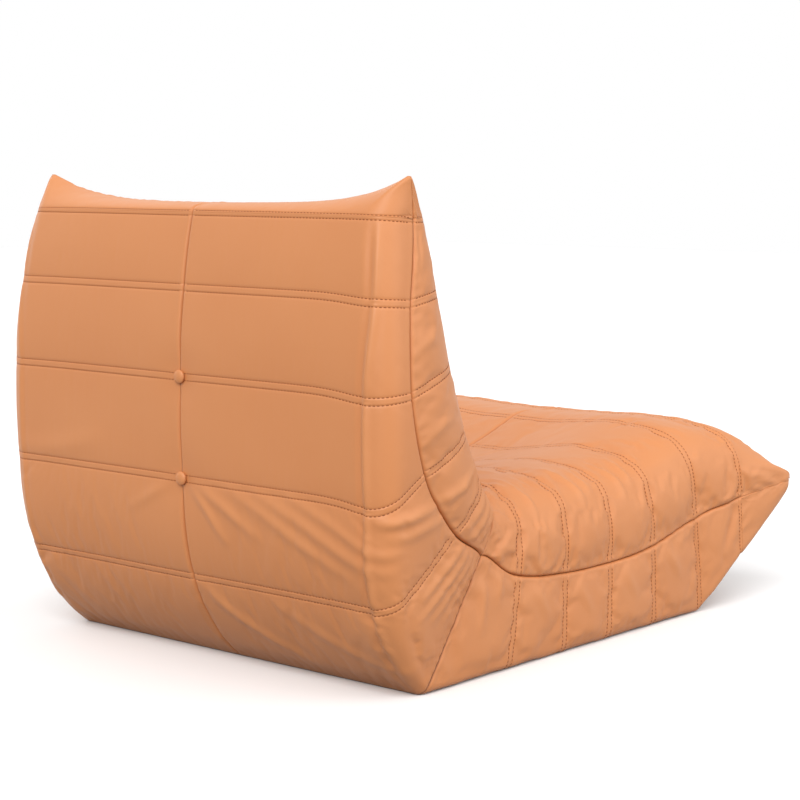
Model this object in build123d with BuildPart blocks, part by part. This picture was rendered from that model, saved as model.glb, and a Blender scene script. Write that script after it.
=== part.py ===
from build123d import *
import os
from math import hypot, pi, sin

# Armless quilted floor chair: a foam pillow bent into a back and a seat. An outer cover (rear of the
# back, sides of the seat, nose) and an inner cover (front of the back, seat top) meet in one seam that
# runs along each side, over the crest and round the nose. Quilting rows ring the pillow and fan about
# the crease. Millimetres. The chair faces -Y, +Z is up, X is the width, and the origin is the middle of
# the floor box.

# Overall sizes
depth = 1029.0
crest_height = 667.0
ear_rise = 41.0
ear_half_width = 364.0
back_half_width = 388.0
top_half_width = 361.0
seat_half_width = 357.0
nose_half_width = 370.0
tip_half_width = 395.0

# Rear of the back: upright at the bulge, leaning in to the top row and tucked under to the heel
bulge_height = 410.0
heel_tuck = 114.0
top_lean = 28.0
widest_height = 350.0

# Front of the back and the crease
top_row_thickness = 115.0
top_row_dip = 6.0
crease_setback = 300.0
crease_height = 272.0
row_fan = 1.35

# Quilting rows: heights on the rear of the back, then positions on the floor and on the seat
back_row_heights = (657.0, 551.0, 425.0, 279.0, 134.0, 0.0)
heel_channel = 206.0
seat_row_steps = (50.0, 98.0, 114.0, 108.0, 115.0, 140.0)
channel_crown = 4.0

# Share of each row's chord, from the outer cover, at which the side seam crosses it
seam_shares = (0.49, 0.30, 0.235, 0.31, 0.50, 0.655, 0.52, 0.48, 0.49, 0.54, 0.56, 0.46)

# Seat and nose
seat_dip_height = 246.0
seat_dip_setback = 558.0
seat_front_height = 296.0
seat_rise_power = 1.6
tip_height = 199.0
tip_reach = 70.0
nose_undercut = 210.0
nose_row_advance = 78.0
nose_row_height = 85.0

# Layers
cover_thickness = 1.2
wadding_thickness = 12.0
layer_gap = 0.4
seam_gap = 0.2
row_gap = 0.002
corner_radius = 34.0
quarter_round = 0.5523
crown_fullness = 0.81
nose_fullness = 0.97
crown_start = 0.12
tip_blunt = 5.0

# Tufting: rows that carry a button, button and twine
tuft_rows = {"upper": 3, "lower": 4}
button_radius = 10.0
button_height = 6.0
button_shell = 1.0
button_rim = 1.8
button_fullness = 0.62
button_seat = 1.1
button_clearance = 0.3
button_back_thickness = 1.2
eye_radius = 2.4
eye_wire_radius = 0.6
twine_radius = 0.7
tuft_hole_radius = 6.0

# Base cloth and its zip, which lies in a gutter above the floor
base_half_width = 285.0
base_cloth_thickness = 1.2
zip_setback = 390.0
zip_length = 520.0
gutter_half_width = 22.0
gutter_ledge = 16.0
gutter_depth = 5.0
zip_slot_half = 6.2
tape_width = 10.0
tape_thickness = 0.6
coil_width = 2.6
coil_height = 2.2
coil_spacing = 1.2
coil_rounding = 1.0
tape_overhang = 12.0
zip_clearance = 0.3
slider_length = 11.0
slider_half_width = 4.8
slider_plate = 1.0
slider_post = 0.6
slider_headroom = 1.0
post_length = 4.0
stop_length = 3.0
bridge_wire = 0.9
bridge_reach = 2.8
bridge_length = 7.0
bridge_width = 2.0
pull_length = 22.0
pull_width = 6.5
pull_thickness = 1.2
pull_corner = 2.75
pull_eye_length = 4.0

# Reference positions in the side view
rear_y = depth / 2 - button_seat - button_height
heel_y = rear_y - heel_tuck
crease_y = rear_y - crease_setback
front_top_y = rear_y - top_lean - top_row_thickness
tip_y = -depth / 2
nose_start_y = tip_y + nose_undercut
seat_dip_y = rear_y - seat_dip_setback
zip_y = rear_y - zip_setback
top_row = 1
crease_row = 6
full_row = 9
nose_start_row = 11
last_row = 12
core_depth = cover_thickness + wadding_thickness + 2 * layer_gap
wadding_depth = cover_thickness + layer_gap

os.makedirs("parts", exist_ok=True)


def save(builder, name):
    """Label a finished piece and write it out."""
    builder.part.label = name
    export_step(builder.part, f"parts/{name}.step")


def between(values, first_row, row):
    """Value at a row, or halfway between two rows, of a list that starts at first_row."""
    low = min(int(row - first_row), len(values) - 2)
    share = row - first_row - low
    return values[low] * (1 - share) + values[low + 1] * share


def rear_face_y(z):
    """Rear outline: a quartic tuck below the bulge and a parabolic lean above it."""
    if z < bulge_height:
        return rear_y - heel_tuck * (1 - z / bulge_height) ** 4
    return rear_y - top_lean * ((z - bulge_height) / (back_row_heights[0] - bulge_height)) ** 2


def back_half_width_at(z):
    """Half width of the back: widest at the middle, narrowing to the top row and to the seat."""
    if z < widest_height:
        return back_half_width - (back_half_width - seat_half_width) * (1 - z / widest_height) ** 2
    rise = (z - widest_height) / (back_row_heights[0] - widest_height)
    return back_half_width - (back_half_width - top_half_width) * rise**2


def seat_face_z(y):
    """Seat outline: a shallow dip that rises to the crease behind it and to the front."""
    if y > seat_dip_y:
        back_share = (y - seat_dip_y) / (crease_y - seat_dip_y)
        return seat_dip_height + (crease_height - seat_dip_height) * back_share**2
    front_share = (seat_dip_y - y) / (seat_dip_y - seat_row_ys[-1])
    return seat_dip_height + (seat_front_height - seat_dip_height) * front_share**seat_rise_power


seat_row_ys = [crease_y - sum(seat_row_steps[:count]) for count in range(len(seat_row_steps) + 1)]
floor_rows = range(nose_start_row - crease_row)
floor_pitch = (heel_y - heel_channel - nose_start_y) / floor_rows[-1]
floor_row_ys = [heel_y] + [heel_y - heel_channel - count * floor_pitch for count in floor_rows]


class Station:
    """Plane section of the pillow, on a quilting row or on the crown of a channel between two rows."""

    def __init__(self, row):
        crown = channel_crown * sin(pi * (row % 1))
        floor_crown = crown
        if row < crease_row:
            height = between(back_row_heights, top_row, row)
            fan_share = ((crease_row - row) / (crease_row - top_row)) ** row_fan
            outer = (rear_face_y(height), height)
            inner_top = back_row_heights[0] - top_row_dip
            inner = (
                crease_y + (front_top_y - crease_y) * fan_share,
                crease_height + (inner_top - crease_height) * fan_share,
            )
            self.half_width = back_half_width_at(height) + crown
        else:
            nose_share = max(row - nose_start_row, 0.0)
            floor_crown = crown if nose_share else 0.0
            outer = (nose_start_y - nose_row_advance * nose_share, nose_row_height * nose_share)
            if row <= nose_start_row:
                outer = (between(floor_row_ys, crease_row, row), 0.0)
            seat_y = between(seat_row_ys, crease_row, row)
            inner = (seat_y, seat_face_z(seat_y))
            self.half_width = seat_half_width + (nose_half_width - seat_half_width) * nose_share + crown
        reach = hypot(inner[0] - outer[0], inner[1] - outer[1])
        self.along = ((inner[0] - outer[0]) / reach, (inner[1] - outer[1]) / reach)
        self.chord = reach + crown + floor_crown
        self.outer = (outer[0] - floor_crown * self.along[0], outer[1] - floor_crown * self.along[1])
        self.inner = (inner[0] + crown * self.along[0], inner[1] + crown * self.along[1])
        self.seam = self.chord * between(seam_shares, top_row, row)
        nose_blend = max(row - full_row, 0.0) / (last_row - full_row)
        self.fullness = crown_fullness + (nose_fullness - crown_fullness) * nose_blend
        self.seam_point = (
            self.outer[0] + self.seam * self.along[0],
            self.outer[1] + self.seam * self.along[1],
        )


def section_plane(point, inward, shift=0.0):
    """Plane of a section through a point of the side view, with X across and local y along inward."""
    normal = (0, -inward[1], inward[0])
    return Plane(origin=(0, *point), x_dir=(1, 0, 0), z_dir=normal).offset(shift)


def corner(start, end):
    """Quarter round from a run along x to a run along y."""
    Bezier(
        start,
        (start[0] + quarter_round * (end[0] - start[0]), start[1]),
        (end[0], end[1] - quarter_round * (end[1] - start[1])),
        end,
    )


def outer_band(row, skin, inside, start_x=seam_gap):
    """Section of a layer of the outer cover, from depth skin to depth inside, middle to side seam."""
    station = Station(row)
    seam_y = station.seam - seam_gap
    turn_x = station.half_width - corner_radius
    with BuildSketch(section_plane(station.outer, station.along)) as band:
        with BuildLine():
            for inset in (skin, inside):
                side_x = station.half_width - inset
                Line((start_x, inset), (turn_x, inset))
                corner((turn_x, inset), (side_x, corner_radius))
                Line((side_x, corner_radius), (side_x, seam_y))
            Line((station.half_width - skin, seam_y), (station.half_width - inside, seam_y))
            Line((start_x, skin), (start_x, inside))
        make_face()
    return band.sketch


def crown_curve(station, inset, seam_y, middle_x):
    """Inner cover's half outline: a short side wall from the seam, then a full curve to the middle."""
    side_x = station.half_width - inset
    start_y = seam_y - crown_start * (seam_y + inset)
    Line((side_x, seam_y), (side_x, start_y))
    Bezier(
        (side_x, start_y),
        (side_x, start_y - station.fullness * (start_y + inset)),
        (station.fullness * side_x, -inset),
        (middle_x, -inset),
    )


def inner_band(row, skin, inside, middle_x=seam_gap):
    """Section of a layer of the inner cover, from depth skin to depth inside, side seam to middle."""
    station = Station(row)
    seam_y = station.seam - station.chord + seam_gap
    with BuildSketch(section_plane(station.inner, station.along)) as band:
        with BuildLine():
            crown_curve(station, skin, seam_y, middle_x)
            crown_curve(station, inside, seam_y, middle_x)
            Line((middle_x, -skin), (middle_x, -inside))
            Line((station.half_width - inside, seam_y), (station.half_width - skin, seam_y))
        make_face()
    return band.sketch


class Ridge:
    """Edge where the two covers meet beyond an end row: it runs from the middle out to a pointed tip.

    The ridge lies in a plane through that row's side seam. It rises above the seam with the cube of the
    distance from the middle, and the covers fan out from the seam to the row on each side of it.
    """

    def __init__(self, row, tip, middle_drop, tip_half_width, shift):
        self.station = Station(row)
        hinge = self.station.seam_point
        self.tip_reach = hypot(tip[0] - hinge[0], tip[1] - hinge[1])
        self.out = ((tip[0] - hinge[0]) / self.tip_reach, (tip[1] - hinge[1]) / self.tip_reach)
        self.middle_reach = self.tip_reach - middle_drop
        self.tip_half_width = tip_half_width
        self.shift = shift

    def at(self, share):
        """Height of the ridge above the seam at a share of the half width."""
        return self.middle_reach + (self.tip_reach - self.middle_reach) * share**3

    def outer_sections(self):
        """Sections of the outer cover on the ridge and halfway between the ridge and the row."""
        station = self.station
        row_out = (-station.along[0], -station.along[1])
        half_out, half_cosine = bisector(row_out, self.out)
        tip_turn = self.at(1 - tip_blunt / self.tip_half_width)
        tip_reaches = (self.middle_reach, tip_turn, self.tip_reach - tip_blunt)
        row_reaches = (station.seam, station.seam, station.seam - corner_radius)
        half_reaches = [2 * a * b * half_cosine / (a + b) for a, b in zip(tip_reaches, row_reaches)]
        half_width = (station.half_width + self.tip_half_width) / 2
        half_blunt = (tip_blunt + corner_radius) / 2
        return [
            self.outer_section(self.out, self.tip_half_width, tip_blunt, tip_reaches, self.shift),
            self.outer_section(half_out, half_width, half_blunt, half_reaches, 0.0),
        ]

    def outer_section(self, out, width, blunt, reaches, shift):
        """Band from the middle along a rising run, over a blunt corner and down to the side seam."""
        station = self.station
        turn_x = width - blunt
        with BuildSketch(section_plane(station.seam_point, (-out[0], -out[1]), shift)) as band:
            with BuildLine():
                for inset in (0.0, cover_thickness):
                    middle, turn, side = (inset - reach for reach in reaches)
                    third_x = turn_x / 3
                    Bezier((seam_gap, middle), (third_x, middle), (2 * third_x, middle), (turn_x, turn))
                    end_x = station.half_width - inset
                    Polyline((turn_x, turn), (width - inset, side), (end_x, -seam_gap))
                Line((station.half_width - cover_thickness, -seam_gap), (station.half_width, -seam_gap))
                Line((seam_gap, -reaches[0]), (seam_gap, cover_thickness - reaches[0]))
            make_face()
        return band.sketch

    def inner_section(self):
        """Section of the inner cover on the ridge."""
        station = self.station
        width = self.tip_half_width
        with BuildSketch(section_plane(station.seam_point, self.out, self.shift)) as band:
            with BuildLine():
                for inset in (0.0, cover_thickness):
                    tip = (width - inset, self.tip_reach - inset)
                    middle = self.middle_reach - inset
                    Line((station.half_width - inset, seam_gap), tip)
                    Bezier(tip, (width * 2 / 3, middle), (width / 3, middle), (seam_gap, middle))
                Line((station.half_width - cover_thickness, seam_gap), (station.half_width, seam_gap))
                Line((seam_gap, self.middle_reach), (seam_gap, self.middle_reach - cover_thickness))
            make_face()
        return band.sketch


def bisector(first, second):
    """Direction halfway between two directions of the side view, and the cosine of half their angle."""
    total = (first[0] + second[0], first[1] + second[1])
    length = hypot(*total)
    return (total[0] / length, total[1] / length), length / 2


def rows(first, last):
    """Rows and channel crowns between two rows, the ends left out."""
    return [first + count / 2 for count in range(1, 2 * (last - first))]


def run(section, first, last, **sizes):
    """Sections of one layer from row to row, with a small gap kept at both ends."""
    places = [first + row_gap] + rows(first, last) + [last - row_gap]
    return [section(row, **sizes) for row in places]


# Ridges: the crest rises straight up to the ears, and the nose runs out to its tips
crest_tip = (Station(top_row).seam_point[0], crest_height + ear_rise)
crest = Ridge(top_row, crest_tip, ear_rise, ear_half_width, seam_gap)
nose = Ridge(last_row, (tip_y, tip_height), tip_reach, tip_half_width, -seam_gap)

# Cover panels, each made as the half on the sitter's left and mirrored to the right
cover = {"skin": 0.0, "inside": cover_thickness}
cover_panels = {
    "back_rear_panel": crest.outer_sections() + run(outer_band, top_row, crease_row, **cover),
    "back_front_panel": [crest.inner_section()] + run(inner_band, top_row, crease_row, **cover),
    "seat_top_panel": run(inner_band, crease_row, last_row, **cover) + [nose.inner_section()],
    "seat_side_panel": run(outer_band, crease_row, nose_start_row, start_x=base_half_width, **cover),
    "nose_panel": run(outer_band, nose_start_row, last_row, **cover) + nose.outer_sections()[::-1],
}


def tuft_plane(row):
    """Plane on the rear cover's middle at a tufted row, facing along the row to the front cover."""
    station = Station(row)
    return Plane(origin=(0, *station.outer), x_dir=(1, 0, 0), z_dir=(0, *station.along))


def bore_tufts():
    """Open the way of each tufting twine through the layers of the back."""
    for row in tuft_rows.values():
        with Locations(tuft_plane(row).offset(-button_radius)):
            Cylinder(
                tuft_hole_radius,
                Station(row).chord + 2 * button_radius,
                align=(Align.CENTER, Align.CENTER, Align.MIN),
                mode=Mode.SUBTRACT,
            )


for name, sections in cover_panels.items():
    with BuildPart() as left_panel:
        loft(sections, ruled=True)
        if name.startswith("back"):
            bore_tufts()
    with BuildPart() as right_panel:
        mirror(left_panel.part, about=Plane.YZ)
    save(left_panel, f"{name}_left")
    save(right_panel, f"{name}_right")

# Wadding that the quilting rows are stitched through
wadding = {"skin": wadding_depth, "inside": wadding_depth + wadding_thickness}
wadding_layers = {
    "back_rear_wadding": run(outer_band, top_row, crease_row, start_x=0.0, **wadding),
    "back_front_wadding": run(inner_band, top_row, crease_row, middle_x=0.0, **wadding),
    "seat_top_wadding": run(inner_band, crease_row, last_row, middle_x=0.0, **wadding),
}
for name, sections in wadding_layers.items():
    with BuildPart() as layer:
        loft(sections, ruled=True)
        mirror(about=Plane.YZ)
        if name.startswith("back"):
            bore_tufts()
    save(layer, name)


def side_band(row, skin, inside):
    """Section of the wadding on the seat's side wall, from the floor corner to the side seam."""
    station = Station(row)
    side_x = station.half_width
    with BuildSketch(section_plane(station.outer, station.along)) as band:
        with BuildLine():
            Polyline(
                (side_x - skin, corner_radius),
                (side_x - skin, station.seam - seam_gap),
                (side_x - inside, station.seam - seam_gap),
                (side_x - inside, corner_radius),
                close=True,
            )
        make_face()
    return band.sketch


with BuildPart() as left_side_wadding:
    loft(run(side_band, crease_row, nose_start_row, **wadding), ruled=True)
with BuildPart() as right_side_wadding:
    mirror(left_side_wadding.part, about=Plane.YZ)
save(left_side_wadding, "seat_side_wadding_left")
save(right_side_wadding, "seat_side_wadding_right")


def outer_core(row, floor_inset):
    """Half section of the firm foam behind the outer cover, parted at the level of the side seam."""
    station = Station(row)
    seam_y = station.seam - seam_gap
    turn = (station.half_width - corner_radius, floor_inset)
    side = (station.half_width - core_depth, corner_radius)
    with BuildSketch(section_plane(station.outer, station.along)) as core:
        with BuildLine():
            Line((0, floor_inset), turn)
            corner(turn, side)
            Polyline(side, (side[0], seam_y), (0, seam_y), (0, floor_inset))
        make_face()
    return core.sketch


def inner_core(row):
    """Half section of the soft foam behind the inner cover, parted at the level of the side seam."""
    station = Station(row)
    seam_y = station.seam - station.chord + seam_gap
    with BuildSketch(section_plane(station.inner, station.along)) as core:
        with BuildLine():
            crown_curve(station, core_depth, seam_y, 0.0)
            Polyline((0, -core_depth), (0, seam_y), (station.half_width - core_depth, seam_y))
        make_face()
    return core.sketch


base_foam_inset = base_cloth_thickness + layer_gap
foam_blocks = {
    "back_firm_foam": run(outer_core, top_row, crease_row, floor_inset=core_depth),
    "back_soft_foam": run(inner_core, top_row, crease_row),
    "seat_firm_foam": run(outer_core, crease_row, last_row, floor_inset=base_foam_inset),
    "seat_soft_foam": run(inner_core, crease_row, last_row),
}
coil_z = gutter_depth + base_cloth_thickness + zip_clearance + tape_thickness / 2
slider_height = coil_height + 2 * zip_clearance + 2 * slider_plate
gutter_roof = coil_z + slider_height / 2 + slider_headroom
for name, sections in foam_blocks.items():
    with BuildPart() as block:
        loft(sections, ruled=True)
        mirror(about=Plane.YZ)
        if name.startswith("back"):
            bore_tufts()
        if name == "seat_firm_foam":
            with Locations((0, zip_y, 0)):
                Box(
                    2 * (base_half_width + layer_gap),
                    2 * (gutter_half_width + layer_gap),
                    2 * gutter_roof,
                    mode=Mode.SUBTRACT,
                )
    save(block, name)

# Covered buttons on both faces of the back, each a domed cap over a back plate with an eye
front_slope = Vector(0, front_top_y - crease_y, back_row_heights[0] - top_row_dip - crease_height)
front_out = Vector(1, 0, 0).cross(front_slope).normalized()
rear_out = Vector(0, 1, 0)
cap_top = button_seat + button_height
cavity_radius = button_radius - 2 * button_shell
eye_height = button_seat + button_back_thickness / 4 - eye_radius


def button_plane(point, out):
    """Section plane of a button, local y along its axis out of the cover."""
    return Plane(origin=(0, *point), x_dir=(1, 0, 0), z_dir=Vector(1, 0, 0).cross(out))


def dome(radius, base, top):
    """Quarter outline of a dome from its rim to its top."""
    Bezier((radius, base), (radius, (base + top) / 2), (button_fullness * radius, top), (0, top))


def save_button(name, point, out):
    """Cap and back plate of one covered button."""
    section = button_plane(point, out)
    axis = Axis(section.origin, out)
    rim = button_seat + button_rim
    with BuildPart() as cap:
        with BuildSketch(section):
            with BuildLine():
                dome(button_radius, rim, cap_top)
                Line((0, cap_top), (0, cap_top - button_shell))
                dome(cavity_radius, rim, cap_top - button_shell)
                Polyline(
                    (cavity_radius, rim),
                    (cavity_radius, button_seat),
                    (button_radius - button_shell, button_seat),
                    (button_radius, rim),
                )
            make_face()
        revolve(axis=axis)
    save(cap, f"{name}_cap")
    with BuildPart() as back:
        with Locations(Plane(section.origin + out * button_seat, z_dir=out)):
            Cylinder(
                cavity_radius - button_clearance,
                button_back_thickness,
                align=(Align.CENTER, Align.CENTER, Align.MIN),
            )
        with Locations(Plane(section.origin + out * eye_height, z_dir=section.z_dir)):
            Torus(eye_radius, eye_wire_radius)
    save(back, f"{name}_back")
    return section.origin + out * eye_height


for level, row in tuft_rows.items():
    rear_eye = save_button(f"rear_button_{level}", Station(row).outer, rear_out)
    front_eye = save_button(f"front_button_{level}", Station(row).inner, front_out)
    way = (front_eye - rear_eye).normalized()
    with BuildPart() as twine:
        for eye, into in ((rear_eye, way), (front_eye, -way)):
            with Locations(Plane(eye + into * eye_radius, z_dir=(1, 0, 0))):
                Torus(eye_radius, twine_radius)
        with Locations(Plane(rear_eye + way * 2 * eye_radius, z_dir=way)):
            Cylinder(
                twine_radius,
                (front_eye - rear_eye).length - 4 * eye_radius,
                align=(Align.CENTER, Align.CENTER, Align.MIN),
            )
    save(twine, f"tuft_twine_{level}")

# Base cloth in two pieces, each turned up along the zip into a gutter that keeps the zip off the floor
cloth_ends = {
    "base_cloth_front": (-1, nose_start_y + layer_gap),
    "base_cloth_rear": (1, heel_y - 2 * layer_gap),
}
for name, (side, far_y) in cloth_ends.items():
    lower_edge = [
        (far_y, 0),
        (zip_y + side * gutter_half_width, 0),
        (zip_y + side * gutter_ledge, gutter_depth),
        (zip_y + side * zip_slot_half, gutter_depth),
    ]
    upper_edge = [(y, z + base_cloth_thickness) for y, z in reversed(lower_edge)]
    with BuildPart() as cloth:
        with BuildSketch(Plane.YZ):
            with BuildLine():
                Polyline(*lower_edge, *upper_edge, close=True)
            make_face()
        extrude(amount=base_half_width - layer_gap, both=True)
    save(cloth, name)

# Zip: two tapes, two rows of coil, end stops, slider and pull
coil_centre = coil_spacing / 2 + coil_width / 2
coil_edge = coil_spacing / 2 + coil_width
tape_start = coil_edge + seam_gap
tape_half_length = zip_length / 2 + tape_overhang
for name, side in {"front": -1, "rear": 1}.items():
    with BuildPart() as tape:
        with Locations((0, zip_y + side * (tape_start + tape_width / 2), coil_z)):
            Box(2 * tape_half_length, tape_width, tape_thickness)
    save(tape, f"zip_tape_{name}")
    with BuildPart() as coil:
        with BuildSketch(Plane.YZ):
            with Locations((zip_y + side * coil_centre, coil_z)):
                RectangleRounded(coil_width, coil_height, coil_rounding)
        extrude(amount=zip_length / 2, both=True)
    save(coil, f"zip_coil_{name}")

with BuildPart() as zip_stops:
    with BuildSketch(Plane.YZ.offset(zip_length / 2 + zip_clearance)):
        with Locations((zip_y, coil_z)):
            RectangleRounded(2 * coil_edge, coil_height + tape_thickness, coil_rounding)
    extrude(amount=stop_length)
    mirror(about=Plane.YZ)
save(zip_stops, "zip_stops")

slider_x = zip_length / 2 - slider_length / 2
slider_bottom = coil_z - slider_height / 2
coil_way = 2 * (coil_edge + zip_clearance), coil_height + 2 * zip_clearance
tape_way = 2 * slider_half_width, tape_thickness + 2 * zip_clearance
under = (Align.CENTER, Align.MAX)
with BuildPart() as zip_slider:
    with BuildSketch(Plane.XY.offset(slider_bottom)):
        with Locations((slider_x, zip_y)):
            RectangleRounded(slider_length, 2 * slider_half_width, slider_half_width / 2)
    extrude(amount=slider_height)
    with Locations((slider_x, zip_y, coil_z)):
        Box(slider_length, *coil_way, mode=Mode.SUBTRACT)
        Box(slider_length, *tape_way, mode=Mode.SUBTRACT)
    with BuildSketch(Plane.XY.offset(slider_bottom)):
        with Locations((slider_x - slider_length / 2 + post_length / 2, zip_y)):
            SlotOverall(post_length, slider_post)
    extrude(amount=slider_height)
    with BuildSketch(Plane.XZ.offset(-zip_y)):
        with Locations((slider_x, slider_bottom)):
            Rectangle(bridge_length, bridge_reach + bridge_wire, align=under)
            Rectangle(bridge_length - 2 * bridge_wire, bridge_reach, align=under, mode=Mode.SUBTRACT)
    extrude(amount=bridge_width / 2, both=True)
save(zip_slider, "zip_slider")

# Pull: a flat tab with an eye that hangs on the slider's bridge
pull_bar_radius = pull_thickness / 2
pull_x = slider_x - bridge_length / 2 + bridge_wire + zip_clearance + pull_bar_radius
pull_z = slider_bottom - bridge_reach + zip_clearance + pull_bar_radius
pull_eye_width = bridge_width + 2 * zip_clearance
with BuildPart() as zip_pull:
    with BuildSketch(Plane.XY.offset(pull_z - pull_thickness / 2)):
        with Locations((pull_x + pull_bar_radius - pull_length / 2, zip_y)):
            RectangleRounded(pull_length, pull_width, pull_corner)
        with Locations((pull_x - pull_eye_length / 2, zip_y)):
            Rectangle(pull_eye_length - pull_thickness, pull_eye_width, mode=Mode.SUBTRACT)
    extrude(amount=pull_thickness)
save(zip_pull, "zip_pull")
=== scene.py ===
from collections import namedtuple
from types import SimpleNamespace

import bmesh
import bpy
import numpy as np
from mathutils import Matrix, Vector


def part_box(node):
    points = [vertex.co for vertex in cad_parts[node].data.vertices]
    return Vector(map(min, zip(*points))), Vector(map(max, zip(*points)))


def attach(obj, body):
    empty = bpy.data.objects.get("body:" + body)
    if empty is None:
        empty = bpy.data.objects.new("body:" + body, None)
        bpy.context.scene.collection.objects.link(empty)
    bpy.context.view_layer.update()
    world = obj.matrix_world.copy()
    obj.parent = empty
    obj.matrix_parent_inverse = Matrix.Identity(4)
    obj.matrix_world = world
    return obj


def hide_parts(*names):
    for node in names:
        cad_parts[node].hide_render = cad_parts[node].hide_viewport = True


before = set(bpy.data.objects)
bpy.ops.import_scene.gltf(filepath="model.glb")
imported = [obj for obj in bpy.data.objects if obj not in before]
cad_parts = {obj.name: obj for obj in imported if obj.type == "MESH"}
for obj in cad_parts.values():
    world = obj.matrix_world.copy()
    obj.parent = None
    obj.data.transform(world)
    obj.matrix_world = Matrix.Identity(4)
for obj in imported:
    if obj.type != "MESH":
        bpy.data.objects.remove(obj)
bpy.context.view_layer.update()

# Quilted floor chair. The cover is worked out in millimetres: a row number says how far along the pillow a
# point lies (0 the crest, 1 to 12 the quilting rows, 13 the nose), and across runs from the middle seam, 0,
# to the side seam, 1. The chair faces -Y.
METRE = 0.001

# Pillow outline in the side view, close to the solids'
rear_y = 507.4
heel_y = 393.4
bulge_height = 410.0
heel_tuck = 114.0
top_lean = 28.0
front_top = np.array((364.4, 651.0))
crease = np.array((207.4, 272.0))
row_fan = 1.35
back_row_heights = np.array((657.0, 551.0, 425.0, 279.0, 134.0, 0.0))
heel_channel = 206.0
seat_row_steps = np.array((50.0, 98.0, 114.0, 108.0, 115.0, 140.0))
seat_dip_y = -50.6
seat_dip_height = 246.0
seat_front_height = 296.0
seat_rise_power = 1.6
seat_crown = 14.0
seat_crown_y = -305.0
seat_crown_reach = 75.0
seat_hollow = 5.0
seat_hollow_y = -130.0
seat_hollow_reach = 65.0
nose_start_y = -304.5
nose_row_advance = 92.0
nose_row_height = 85.0
seam_shares = np.array((0.49, 0.30, 0.235, 0.31, 0.50, 0.655, 0.52, 0.484, 0.484, 0.504, 0.53, 0.45))

# Where the finished seat departs most from the solids, at rows 6 to 12: rows moved back on the seat and on
# the floor, the middle raised, the edges of the seat raised and made fuller
seat_row_shift = np.array((0.0, 14.0, 11.0, 12.0, 15.5, 17.0, 40.0))
floor_row_shift = np.array((0.0, 18.0, 8.0, 16.0, 14.0, 4.0, 0.0))
seat_row_lift = np.array((0.0, 0.0, 1.0, 3.0, 6.0, 11.0, 0.0))
edge_heights = np.array((0.0, 6.0, 14.0, 18.0, 22.0, 14.0, 6.0))
seat_fullness = np.array((0.81, 0.90, 0.97, 0.97, 0.97, 0.95, 0.93))
edge_from, edge_rise, edge_end, edge_fall = 0.10, 0.35, 0.72, 0.23

# Widths
back_half_width = 388.0
top_half_width = 361.0
seat_half_width = 357.0
nose_half_width = 375.0
widest_height = 350.0
corner_radii = np.array((34.0, 34.0, 34.0, 34.0, 28.0, 14.0, 13.0, 13.0, 13.0, 13.0, 12.0, 10.0))
base_half_width = 285.0
crown_fullness = 0.81
crown_start = 0.12

# Ridges: tip in the side view, drop from the tip to the middle, half width at the tip
crest_tip = np.array((431.0, 708.0))
ear_rise = 41.0
ear_half_width = 364.0
nose_tip = np.array((-519.0, 199.0))
tip_reach = 70.0
tip_half_width = 398.0
crest_power = 4.2
nose_power = 2.2
straightness = {"crest": 0.8, "nose_top": 0.4, "nose_under": 0.85}

top_row = 1
crease_row = 6
nose_row = 11
last_row = 12
plain_rows = (0, crease_row, last_row + 1)

back_rows = np.arange(top_row, crease_row + 1)
seat_rows = np.arange(crease_row, last_row + 1)
floor_rows = np.arange(crease_row, nose_row + 1)
seat_row_ys = crease[0] - np.concatenate([[0.0], np.cumsum(seat_row_steps)])
floor_pitch = (heel_y - heel_channel - nose_start_y) / (nose_row - crease_row - 1)
floor_steps = np.arange(nose_row - crease_row)
floor_row_ys = np.concatenate([[heel_y], heel_y - heel_channel - floor_pitch * floor_steps])


def curve_through(values, place):
    """Catmull-Rom curve: a cubic between each two values whose end slopes are half its neighbours' step."""
    ends = [2 * values[0] - values[1]], [2 * values[-1] - values[-2]]
    points = np.concatenate([ends[0], values, ends[1]])
    low = np.clip(np.floor(place).astype(int), 0, len(values) - 2)
    t = place - low
    if points.ndim > 1:
        t = t[..., None]
    a, b, c, d = (points[low + k] for k in range(4))
    return b + 0.5 * t * (c - a + t * (2 * a - 5 * b + 4 * c - d + t * (3 * (b - c) + d - a)))


def ease(share):
    """Smooth step from 0 to 1: three squares less two cubes."""
    share = np.clip(share, 0, 1)
    return share**2 * (3 - 2 * share)


def bump(distance, width):
    """Gaussian hump of height 1."""
    return np.exp(-((distance / width) ** 2))


def climb(value, start, length):
    """Straight rise from 0 at a start to 1 a length beyond it, or before it where the length is negative."""
    return np.clip((value - start) / length, 0, 1)


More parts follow.
